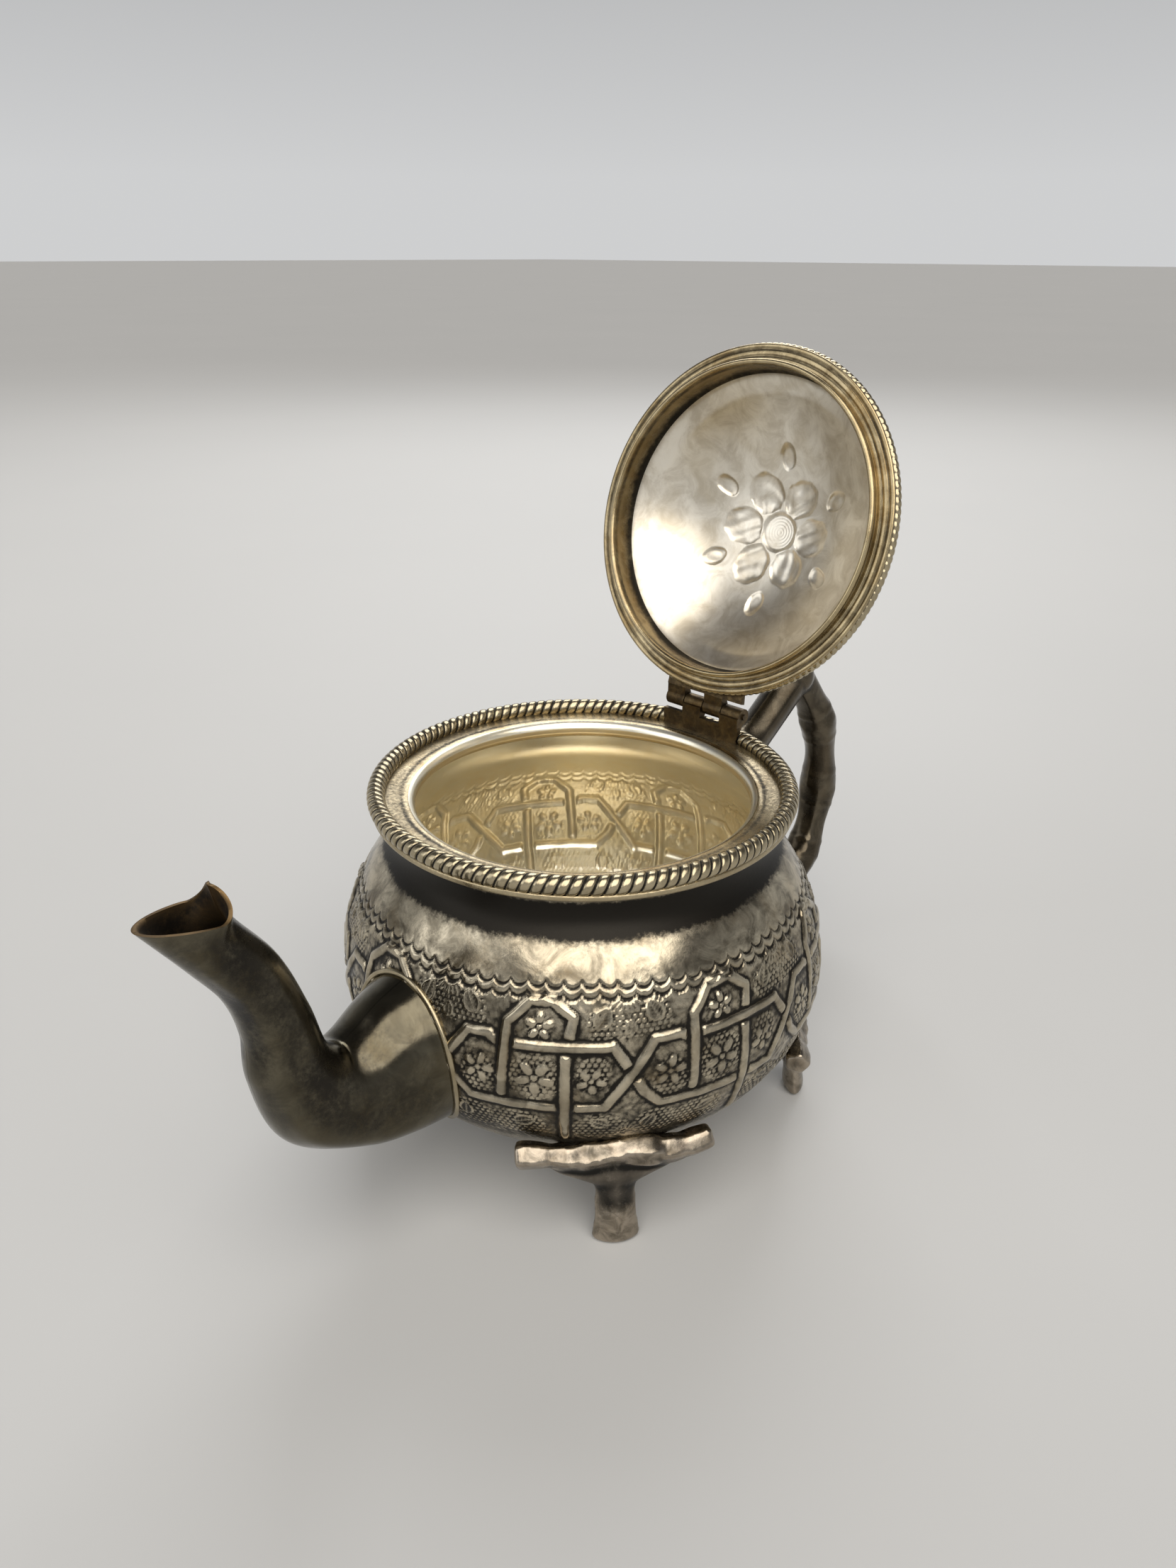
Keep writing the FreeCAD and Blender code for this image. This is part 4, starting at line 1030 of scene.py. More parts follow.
@dataclass
class Rim:
    """The mouth's flange with its rolled lip, and the rope border on its edge.

    Attributes:
        rope_outer: Outside of the rope border, from the solids.
        rope_top: Top of the rope border, from the solids.
    """

    rope_outer: float
    rope_top: float
    rope_half: float = 2.2
    mouth_radius: float = 41.0
    flange_top: float = 88.0
    flange_bottom: float = 86.8
    skirt_outer: float = 45.2
    skirt_inner: float = 44.0
    skirt_foot: float = 83.8
    stain_radius: float = 44.4
    stain_half: float = 0.45
    strands: int = 126
    strand_steps: int = 9
    lay: float = 2.0
    rope_sides: int = 44
    columns: int = 320

    def build_collar(self) -> bpy.types.Object:
        """Make the flange, which turns down into the gilt mouth, and its skirt in the neck."""
        edge = self.rope_outer - self.rope_half * 0.4
        inner_rope = self.rope_outer - 2.0 * self.rope_half
        crest = self.flange_top + 1.0
        mouth = self.mouth_radius
        corners = [
            (self.skirt_inner - 0.1, self.skirt_foot), (self.skirt_outer, self.skirt_foot),
            (self.skirt_outer, self.flange_bottom), (edge, self.flange_bottom),
            (edge, self.flange_top + 0.2), (inner_rope + 0.6, crest + 0.2), (inner_rope - 0.9, crest + 0.15),
            (mouth + 3.4, crest), (mouth + 1.8, crest - 0.05), (mouth + 0.6, crest - 0.8),
            (mouth + 0.1, crest - 2.0), (mouth + 0.2, crest - 3.2),
            (self.skirt_inner - 1.2, self.skirt_foot + 0.5),
        ]
        path = spaced(rounded(corners + corners[:1], 0.9), 0.22)[:-1]
        gilt = (path[:, 0] < mouth + 1.7).astype(np.int32)
        sheet = Sheet(turned(path, self.columns), loop_rows=True, slots=gilt)
        piece = make_piece("mouth_flange", [sheet], sharp=60.0)
        points = points_of(piece.data)
        radius = np.hypot(points[:, 0], points[:, 1])
        patchy = 0.7 + 0.3 * np.sin(7.0 * points[:, 1] / radius)
        ring = np.exp(-((radius - self.stain_radius) / self.stain_half) ** 2) * patchy
        outward = 0.18 * smooth_step(radius, 43.4, 44.6) + 0.2 * smooth_step(radius, 46.6, 48.4)
        # Under the rope and on the flange's underside the metal is darkened: painted shade.
        shade_under_rope = (points[:, 2] < self.flange_top + 0.1) & (radius > inner_rope + 0.65)
        shaded_underside = points[:, 2] < self.flange_bottom + 0.3
        return weathered_and_shaded(piece, 8, 0.12, outward + 0.7 * ring + 0.9 * shade_under_rope + 0.9 * shaded_underside)

    def build_rope(self) -> bpy.types.Object:
        """Make the rope border as slanting strands round a ring."""
        turn, around = np.meshgrid(circle(self.strands * self.strand_steps), circle(self.rope_sides))
        phase = self.strands * turn - self.lay * around
        uneven = 0.05 * np.sin(turn * 5.0) + 0.04 * np.sin(turn * 13.0 + 1.0)
        groove = (1.0 - np.abs(np.sin(phase / 2.0))) ** 2.4
        half = self.rope_half * (1.0 - (0.24 + uneven) * groove)
        middle = self.rope_top - self.rope_half
        radius = self.rope_outer - self.rope_half + half * np.cos(around)
        points = about_axis(radius, turn, middle + half * np.sin(around))
        piece = make_piece("rope_trim", [Sheet(points, loop_rows=True)], sharp=180.0)
        # The lower half of the rope is darkened: painted shade, over tarnish all round.
        under = smooth_step(points_of(piece.data)[:, 2], middle, middle - self.rope_half)
        return weathered_and_shaded(piece, 5, 0.1, 0.25 + 0.7 * under)


# The spout


@dataclass(frozen=True)
class Station:
    """One section of the spout: where its middle is, how it leans and how large it is."""

    reach: float
    height: float
    lean: float
    half_width: float
    oval: float


@dataclass
class Spout:
    """The curved spout, made in two halves that meet in the plane of spout and handle.

    Attributes:
        pot: The pot that it seats on.
    """

    pot: Pot
    wall: float = 1.2
    root_height: float = 42.0
    root_half_width: float = 16.4
    root_oval: float = 0.2
    lip: Point = (-115.0, 100.0)
    corner: Place = (-101.2, 6.6, 98.0)
    corner_turn: float = 86.0
    mouth_middle: float = -105.5
    peak: Point = (-99.4, 103.6)
    mouth_bow: float = 2.0
    bead_half: float = 0.75
    ring: int = 96
    steps: int = 12
    stations: tuple[Station, ...] = (
        Station(-66.0, 41.8, 90.0, 14.3, 0.20),
        Station(-75.0, 41.6, 80.0, 12.2, 0.14),
        Station(-84.5, 46.2, 45.0, 10.3, 0.10),
        Station(-89.0, 56.5, 10.0, 8.3, 0.06),
        Station(-90.5, 68.0, 12.0, 7.2, 0.02),
        Station(-94.5, 80.5, 28.0, 6.7, 0.01),
        Station(-101.5, 91.5, 42.0, 6.5, 0.01),
    )

    def section(self, station: Station, around: np.ndarray, shrink: float) -> np.ndarray:
        """Draw one section with its flat flanks and the soft ridge along each of them.

        Args:
            station: The section to draw.
            around: Angles round the section, from its back over the left flank.
            shrink: How much smaller the section is drawn.

        Returns:
            The section's points.
        """
        lean = math.radians(station.lean)
        flat = -0.05 * np.exp(-((np.abs(around) - math.radians(84.0)) / math.radians(26.0)) ** 2)
        ridge = 0.07 * np.exp(-((np.abs(around) - math.radians(126.0)) / math.radians(15.0)) ** 2)
        girth = 1.0 + flat + ridge
        tall = station.half_width * (1.0 + station.oval) * girth - shrink
        wide = station.half_width * girth - shrink
        back = tall * np.cos(around)
        return np.stack([station.reach + back * math.cos(lean), wide * np.sin(around),
                         station.height + back * math.sin(lean)], axis=1)

    def root(self, around: np.ndarray, shrink: float, sink: float) -> np.ndarray:
        """Draw the root where the spout meets the pot's skin."""
        tall = self.root_half_width * (1.0 + self.root_oval) - shrink
        wide = self.root_half_width - shrink
        across = wide * np.sin(around)
        height = self.root_height + tall * np.cos(around)
        skin = self.pot.radius_at(height) - sink
        return np.stack([-np.sqrt(np.maximum(skin ** 2 - across ** 2, 0.0)), across, height], axis=1)

    def mouth(self, around: np.ndarray, shrink: float) -> np.ndarray:
        """Draw the mouth: a peak at the back, a corner on each side and a long pointed lip."""
        side = np.sign(np.sin(around))
        turn = np.degrees(np.abs(around))
        behind = turn < self.corner_turn
        back = np.clip(turn / self.corner_turn, 0.0, 1.0)
        front = np.clip((turn - self.corner_turn) / (180.0 - self.corner_turn), 0.0, 1.0)
        corner_x, corner_y, corner_z = self.corner
        aside = np.sin(back * math.pi / 2.0)
        forward = np.sin(front * math.pi / 2.0) ** 1.3
        narrow = np.cos(front * math.pi / 2.0) * (1.0 + 0.25 * front * (1.0 - front))
        x = self.peak[0] + (corner_x - self.peak[0]) * back + (self.lip[0] - corner_x) * forward
        x += self.mouth_bow * np.sin(back * math.pi)
        y = corner_y * np.where(behind, aside ** 0.9, narrow)
        z = np.where(behind, self.peak[1] + (corner_z - self.peak[1]) * aside ** 1.7,
                     corner_z + (self.lip[1] - corner_z) * forward)
        points = np.stack([x, y * side, z], axis=1)
        inward = np.array([self.mouth_middle, 0.0, 0.0]) - points
        inward[:, 2] = 0.0
        lengths = np.maximum(np.linalg.norm(inward, axis=1), 1e-6)[:, None]
        return points + inward / lengths * shrink

    def skin(self, around: np.ndarray, shrink: float, lip_shrink: float) -> np.ndarray:
        """Run one skin of the spout from the pot to the lip."""
        rings = [self.root(around, shrink, 0.3)]
        rings += [self.section(station, around, shrink) for station in self.stations]
        rings.append(self.mouth(around, lip_shrink))
        return smooth_curve(np.array(rings), self.steps)

    def build_half(self, name: str, side: float) -> bpy.types.Object:
        """Make one half, its two skins joined along the seam, the lip and the root."""
        seam = 0.004
        around = side * np.linspace(seam, math.pi - seam, self.ring // 2 + 1)
        outer = self.skin(around, 0.0, 0.0)
        inner = self.skin(around, self.wall, 0.75)
        rows = np.concatenate([outer, inner[::-1]])
        slots = (np.arange(len(rows)) >= len(outer) - 1).astype(np.int32)
        sheets = [Sheet(rows, loop_columns=False, loop_rows=True, slots=slots)]
        for index in (0, -1):
            sheets.append(Sheet(np.stack([outer[:, index], inner[:, index]]), loop_columns=False))
        piece = make_piece(name, sheets, sharp=75.0)
        points = points_of(piece.data)
        root = smooth_step(points[:, 2], 60.0, 30.0)
        neck = smooth_step(points[:, 0], -74.0, -86.0)
        return weathered_and_shaded(piece, 14, 0.5, 0.2 * root + 0.45 * neck)

    def build_bead(self) -> bpy.types.Object:
        """Make the bead that runs round the root."""
        around = circle(240)
        line = self.root((around + math.pi) % (2.0 * math.pi) - math.pi, -0.35, -0.25)
        out = unit(line * np.array([1.0, 1.0, 0.0]))
        side = np.cross(unit(np.roll(line, -1, axis=0) - np.roll(line, 1, axis=0)), out)
        half = self.bead_half * (1.0 + 0.12 * np.sin(around * 9.0) * np.sin(around * 4.0))[:, None]
        points = np.stack([line + out * half * math.sin(turn) + side * half * math.cos(turn)
                           for turn in circle(10)])
        piece = make_piece("spout_bead", [Sheet(points, loop_rows=True)], sharp=180.0)
        return weathered_and_shaded(piece, 3, 0.3, 0.4)


# The handle


def cast_together(name: str, sheets: Sequence[Sheet], grain: float, rounds: int) -> bpy.types.Mesh:
    """Join closed sheets into one skin, as a casting is.

    Args:
        name: The mesh's name.
        sheets: Closed sheets that overlap.
        grain: The size of the skin's faces in millimetres.
        rounds: How many rounds of evening out soften the skin.

    Returns:
        The mesh, with points in metres.
    """
    rough = make_piece(f"{name}_rough", sheets, sharp=180.0)
    remesh = rough.modifiers.new("casting", "REMESH")
    remesh.mode = "VOXEL"
    remesh.voxel_size = grain * MM
    graph = bpy.context.evaluated_depsgraph_get()
    mesh = bpy.data.meshes.new_from_object(rough.evaluated_get(graph))
    mesh.name = name
    bpy.data.objects.remove(rough)
    points = points_of(mesh)
    move_points(mesh, relaxed(mesh, points, rounds))
    return mesh


def capped(rings: np.ndarray, first: Sequence[float], last: Sequence[float]) -> Sheet:
    """Close rings of points by drawing each end together to a point."""
    start, end = [np.broadcast_to(np.asarray(spot), (1, *rings.shape[1:])) for spot in (first, last)]
    return Sheet(np.concatenate([start, rings, end]))


def tube(path: np.ndarray, side: np.ndarray, radius: np.ndarray) -> Sheet:
    """Run a closed tube along a path.

    Args:
        path: The path's points.
        side: A direction that the path is never along.
        radius: Radius for each point and each angle round the tube.

    Returns:
        The tube, closed by drawing its ends together.
    """
    run = unit(np.gradient(path, axis=0))
    across = unit(np.cross(run, side))
    upright = np.cross(across, run)
    turn = circle(radius.shape[1])
    rings = path[:, None] + across[:, None] * (radius * np.cos(turn))[..., None]
    rings = rings + upright[:, None] * (radius * np.sin(turn))[..., None]
    return capped(rings, path[0], path[-1])


@dataclass
class Handle:
    """The cast handle, shaped as a knotty twig that bends from knot to knot.

    Attributes:
        pot: The pot that it seats on.
    """

    pot: Pot
    twig: float = 4.9
    arm_twig: float = 5.7
    elbow: Point = (91.6, 93.8)
    elbow_half: float = 6.1
    knot_swell: float = 0.2
    knot_length: float = 5.6
    grain: float = 0.42
    arm: tuple[Point, ...] = ((44.0, 77.5), (63.0, 75.5), (94.0, 95.0))
    grip: tuple[Point, ...] = ((92.5, 95.5), (107.5, 75.0), (111.5, 51.0), (104.5, 28.0), (87.0, 17.5),
                               (65.0, 22.0), (41.0, 27.5))

    def length_of_twig(self, knots: Sequence[Point], seed: int, girth: float) -> Sheet:
        """Run one length of twig through its knots, faceted and swelling at every knot.

        Args:
            knots: The knots as places in the plane of spout and handle.
            seed: Sets how the facets turn.
            girth: The twig's radius between knots.

        Returns:
            A closed tube.
        """
        steps, sides = 26, 56
        flat = smooth_curve(np.array(knots), steps)
        path = np.stack([flat[:, 0], np.zeros(len(flat)), flat[:, 1]], axis=1)
        along = lengths_along(path)
        at_knots = along[::steps]
        nearest = np.min(np.abs(along[:, None] - at_knots[None, 1:-1]), axis=1)
        swell = self.knot_swell * np.exp(-(nearest / self.knot_length) ** 2)
        rings = 0.07 * np.exp(-((nearest - self.knot_length * 1.05) / 0.55) ** 2)
        waist = -0.05 * smooth_step(nearest, 6.0, 12.0)
        draws = np.random.default_rng(seed)
        lengths = np.searchsorted(at_knots, along, side="right")
        lean = draws.uniform(0.0, 2.0 * math.pi, len(knots) + 2)[lengths]
        facets = 0.075 * np.abs(np.sin(2.5 * (circle(sides)[None] + lean[:, None])))
        return tube(path, ACROSS, girth * ((1.04 + swell + rings + waist)[:, None] - facets))

    def elbow_knot(self) -> Sheet:
        """Make the round knot where the two lengths meet."""
        steps = np.linspace(-0.99, 0.99, 24)
        across = self.elbow[0] + self.elbow_half * steps
        path = np.stack([across, 0.0 * steps, 0.0 * steps + self.elbow[1]], axis=1)
        return tube(path, ACROSS, np.repeat(self.elbow_half * dome(steps[:, None] ** 2), 40, axis=1))

    def build(self) -> bpy.types.Object:
        """Cast both lengths of twig and their knot into one and seat the roots on the pot."""
        lengths = [self.length_of_twig(self.arm, 3, self.arm_twig),
                   self.length_of_twig(self.grip, 8, self.twig), self.elbow_knot()]
        mesh = cast_together("handle_twig", lengths, self.grain, 3)
        move_points(mesh, self.pot.seat(points_of(mesh)))
        return weathered_and_shaded(show_piece("handle_twig", mesh, 180.0), 12, 0.3, 0.05)


# The feet


@dataclass
class Foot:
    """A cast foot: a lumpy twig laid along the belly, a web and a leg with a spade toe.

    Attributes:
        pot: The pot that it seats on.
    """

    pot: Pot
    bar_reach: float = 56.7
    bar_height: float = 24.0
    bar_half: float = 23.0
    bar_radius: float = 3.0
    hip_half: float = 17.5
    shank_half: float = 5.2
    toe_reach: float = 58.4
    toe_half: float = 5.6
    lengths: int = 7
    seed: int = 4
    grain: float = 0.4

    def bar(self) -> Sheet:
        """Lay the twig across in lengths that differ in girth, each with its own flat facets."""
        share = np.linspace(-1.0, 1.0, 120)
        draws = np.random.default_rng(self.seed)
        cuts = np.linspace(-1.0, 1.0, self.lengths + 1)[1:-1]
        cuts = cuts + draws.uniform(-0.07, 0.07, self.lengths - 1)
        middles = np.linspace(-1.0, 1.0, self.lengths)
        girth = np.interp(share, middles, draws.uniform(0.92, 1.3, self.lengths))
        lean = draws.uniform(0.0, 2.0 * math.pi, self.lengths)[np.searchsorted(cuts, share)]
        notch = 0.07 * np.exp(-(np.min(np.abs(share[:, None] - cuts[None]), axis=1) / 0.05) ** 2)
        fifth = 2.0 * math.pi / 5.0
        facets = 0.87 / np.cos((circle(40)[None] + lean[:, None]) % fifth - fifth / 2.0)
        ends = 0.8 + 0.2 * dome(np.abs(share) ** 14)
        radius = self.bar_radius * ((girth - notch) * ends)[:, None] * facets
        out = self.bar_reach - 1.6 * share ** 2 + 0.35 * np.sin(share * 5.0)
        sag = 0.7 * np.sin(share * 6.2 + 0.8)
        path = np.stack([out, self.bar_half * share * 0.985, self.bar_height + sag], axis=1)
        return tube(path, UPWARD, radius)

    def leg(self) -> Sheet:
        """Loft the web under the bar into the leg and out to the toe.

        Each knot gives the reach from the pot's axis, the height, half the thickness and half the width.
        """
        bar, level = self.bar_reach, self.bar_height
        hip, shank, toe = self.hip_half, self.shank_half, self.toe_half
        knots = np.array([
            (bar - 2.4, level - 0.3, 3.6, hip),
            (bar - 0.9, level - 4.2, 3.5, hip * 0.84),
            (bar - 0.4, level - 6.6, 3.1, hip * 0.54),
            (bar - 0.2, level - 9.0, 2.7, shank),
            (bar + 0.1, level - 14.0, 2.3, shank * 0.95),
            (self.toe_reach - 0.6, 6.4, 2.5, shank * 0.96),
            (self.toe_reach - 0.2, 2.4, 2.9, toe),
            (self.toe_reach, 0.8, 2.8, toe * 1.02),
            (self.toe_reach - 0.1, 0.0, 2.3, toe * 0.9),
        ])
        reach, height, thick, wide = smooth_curve(knots, 8).T[..., None]
        turn = circle(48)
        round_off = 1.0 - 0.06 * np.abs(np.sin(2.0 * turn))
        rings = np.stack([reach + thick * np.cos(turn) * round_off, wide * np.sin(turn) * round_off,
                          height + 0.0 * turn], axis=-1)
        first, last = [(reach[end, 0], 0.0, height[end, 0]) for end in (0, -1)]
        return capped(rings, first, last)

    def build(self, name: str, azimuth: float) -> bpy.types.Object:
        """Cast one foot and turn it to its place.

        Args:
            name: The piece's name.
            azimuth: Where the foot stands, in degrees round the pot.

        Returns:
            The foot.
        """
        mesh = cast_together(name, [self.bar(), self.leg()], self.grain, 4)
        points = self.pot.seat(points_of(mesh))
        height = np.maximum(points[:, 2], 0.0)
        points[:, 2] = height
        shank = smooth_step(height, 7.0, 12.0) * smooth_step(height, 22.5, 19.5)
        toe = smooth_step(height, 9.0, 5.0)
        cos, sin = math.cos(math.radians(azimuth)), math.sin(math.radians(azimuth))
        move_points(mesh, points @ np.array([[cos, sin, 0.0], [-sin, cos, 0.0], [0.0, 0.0, 1.0]]))
        return weathered_and_shaded(show_piece(name, mesh, 180.0), 10, 0.3, 0.85 * shank - 0.3 * toe)


# The lid


@dataclass
class Lid:
    """The domed lid, drawn closed and swung open about its hinge.

    Attributes:
        pin: Where the hinge pin is in the plane of spout and handle.
        open_angle: How far the lid stands open, in degrees.
        petal_rows: Rows of petals: the middle's radius, half length, half width, share of a turn and rise.
        edge_lines: Lines turned in the flat edge: the radius, half width and depth of each.
    """

    pin: Point
    open_angle: float
    edge_height: float = 90.0
    radius: float = 45.0
    sheet: float = 1.0
    wire_half: float = 1.2
    bezel_outer: float = 40.3
    bezel_inner: float = 38.8
    bezel_depth: float = 2.5
    dome_step: float = 5.5
    shoulder_radius: float = 34.5
    shoulder_rise: float = 4.0
    dome_rise: float = 13.5
    petals: int = 6
    petal_rows: tuple[tuple[float, ...], ...] = ((10.8, 5.4, 4.9, 0.5, 0.5), (19.8, 3.3, 2.3, 0.0, 0.55))
    edge_lines: tuple[Place, ...] = ((43.0, 0.4, 0.35), (41.3, 0.3, 0.3))
    beads: int = 150
    bead_steps: int = 8
    columns: int = 432

    def swung(self, points: np.ndarray) -> np.ndarray:
        """Swing points of the closed lid open about the pin."""
        turn = math.radians(self.open_angle)
        x, z = points[..., 0] - self.pin[0], points[..., 2] - self.pin[1]
        return np.stack([self.pin[0] + x * math.cos(turn) + z * math.sin(turn), points[..., 1],
                         self.pin[1] - x * math.sin(turn) + z * math.cos(turn)], axis=-1)

    def crown(self, inset: float) -> np.ndarray:
        """Draw the dome's arc from its shoulder to its crown, set in by part of the sheet."""
        shoulder = self.edge_height + self.dome_step + self.shoulder_rise - inset
        radius, top = self.shoulder_radius - 0.4 * inset, shoulder + self.dome_rise
        level = (top ** 2 - radius ** 2 - shoulder ** 2) / (2.0 * (top - shoulder))
        return arc((radius, shoulder), (0.0, top), (0.0, level), 300)

    def rosette(self, radius: np.ndarray, turn: np.ndarray) -> np.ndarray:
        """Work out the relief of the crown: petals, leaf tips between them and a turned middle."""
        height = np.zeros(np.broadcast(radius, turn).shape)
        period = 2.0 * math.pi / self.petals
        wobble = 0.35 * np.sin(3.0 * turn + 0.7) + 0.25 * np.sin(5.0 * turn)
        for centre, tall, wide, share, rise in self.petal_rows:
            angle = (turn - math.pi - share * period + period / 2.0) % period - period / 2.0
            along = radius * np.cos(angle) - centre - wobble
            across = radius * np.sin(angle)
            squares = (along / tall) ** 2 + (across / wide) ** 2
            body = rise * smooth_step(squares, 1.2, 0.3)
            lumps = 0.14 * np.sin(along * 0.9 + 2.0 * np.sin(turn * 4.0)) * np.sin(across * 1.1 + 1.0)
            rim = 0.08 * np.exp(-((squares - 0.8) / 0.22) ** 2)
            height = np.maximum(height, body + (lumps + rim) * (squares < 1.1))
        middle = 0.45 * smooth_step(radius, 5.8, 4.4) + 0.05 * np.sin(radius * 7.5) * (radius < 4.8)
        return np.maximum(height * smooth_step(radius, 4.6, 6.2), middle)

    def step(self, spots: np.ndarray) -> np.ndarray:
        """Give the spacing of rows: coarse on the plain shoulder and fine elsewhere."""
        return np.where((spots[:, 0] > 25.0) & (spots[:, 0] < 40.0), 0.6, 0.3)

    def build_dome(self) -> bpy.types.Object:
        """Make the dome with its upright wall and flat edge, and the rosette on both faces."""
        low, foot = self.edge_height, self.edge_height + self.dome_step
        high = low + self.sheet
        inner_wall, outer_wall = self.bezel_inner, self.bezel_inner + self.sheet
        edge = self.radius - self.wire_half * 0.5
        lines = [corner for radius, half, depth in self.edge_lines
                 for corner in ((radius + half, low), (radius, low + depth), (radius - half, low))]
        inside, outside = self.crown(self.sheet), self.crown(0.0)
        inner = rounded([(inner_wall, low), (inner_wall, foot - 0.5), tuple(inside[0])], 1.6)
        outer = rounded([tuple(outside[0]), (outer_wall, foot), (outer_wall, high), (edge, high), (edge, low),
                         *lines, (inner_wall, low)], 0.7)
        sheets = []
        faces = (np.concatenate([inner, inside[1:]]), np.concatenate([outside[::-1], outer[1:]]))
        for number, face in enumerate(faces):
            path = spaced(face, self.step)
            points = turned(path, self.columns)
            points[..., 2] += self.rosette(path[:, :1], circle(self.columns)[None])
            level = np.abs(path[:, 1] - low) < 0.5
            brassy = (level | (number == 0)) & (path[:, 0] > inner_wall - 0.3)
            slots = np.where(brassy, 2, number).astype(np.int32)
            sheets.append(Sheet(self.swung(points), slots=slots))
        return weathered_and_shaded(make_piece("lid_dome_sheet", sheets, sharp=70.0), 9, 0.3, 0.0)

    def build_bezel(self) -> bpy.types.Object:
        """Make the ring that drops into the mouth, with a line turned round its foot."""
        inner, outer, top = self.bezel_inner, self.bezel_outer, self.edge_height
        foot = top - self.bezel_depth
        corners = [(inner, top), (inner, foot + 0.5), (inner + 0.5, foot), (outer - 0.5, foot),
                   (outer, foot + 0.5), (outer, foot + 1.1), (outer - 0.25, foot + 1.3), (outer, foot + 1.5),
                   (outer, top), (inner, top)]
        path = spaced(rounded(corners, 0.3), 0.2)[:-1]
        sheet = Sheet(self.swung(turned(path, 320)), loop_rows=True)
        return weathered_and_shaded(make_piece("lid_bezel_ring", [sheet], sharp=60.0), 6, 0.1, 0.15)

    def build_wire(self) -> bpy.types.Object:
        """Make the beaded wire on the lid's edge."""
        turn, around = np.meshgrid(circle(self.beads * self.bead_steps), circle(14))
        groove = (1.0 - np.abs(np.sin((self.beads * turn - around) / 2.0))) ** 1.3
        half = self.wire_half * (1.0 - 0.17 * groove)
        radius = self.radius - self.wire_half + half * np.cos(around)
        height = self.edge_height + self.sheet + self.wire_half + half * np.sin(around)
        sheet = Sheet(self.swung(about_axis(radius, turn, height)), loop_rows=True)
        return weathered_and_shaded(make_piece("lid_edge_wire", [sheet], sharp=180.0), 4, 0.08, 0.3)

    def build_finial(self) -> list[bpy.types.Object]:
        """Make the collar on the crown and the bud with its folded leaves."""
        crown = self.edge_height + self.dome_step + self.shoulder_rise + self.dome_rise
        top = crown + 2.4
        collar = rounded([(0.0, crown - 0.3), (7.0, crown - 0.5), (7.0, crown + 0.6), (5.2, crown + 1.3),
                          (3.4, top), (0.0, top)], 0.5)
        bud = smooth_curve(np.array([
            (0.0, top), (2.4, top), (1.9, top + 3.0), (4.6, top + 6.0), (5.5, top + 9.0), (4.2, top + 12.0),
            (1.3, top + 14.8), (0.0, top + 16.0),
        ]), 8)
        sides = 144
        made = []
        for name, outline, folds in (("finial_base", collar, 12), ("finial_bud", bud, 6)):
            path = spaced(outline, 0.3)
            path[:, 0] = np.maximum(path[:, 0], 0.0)
            points = turned(path, sides)
            crease = 1.0 - np.abs(np.sin(folds * circle(sides) / 2.0 + path[:, 1:2] * 0.12))
            points[..., :2] *= (1.0 - 0.09 * crease)[..., None]
            made.append(weathered_and_shaded(make_piece(name, [Sheet(self.swung(points))], sharp=75.0), 8, 0.25, 0.1))
        return made


# The studio


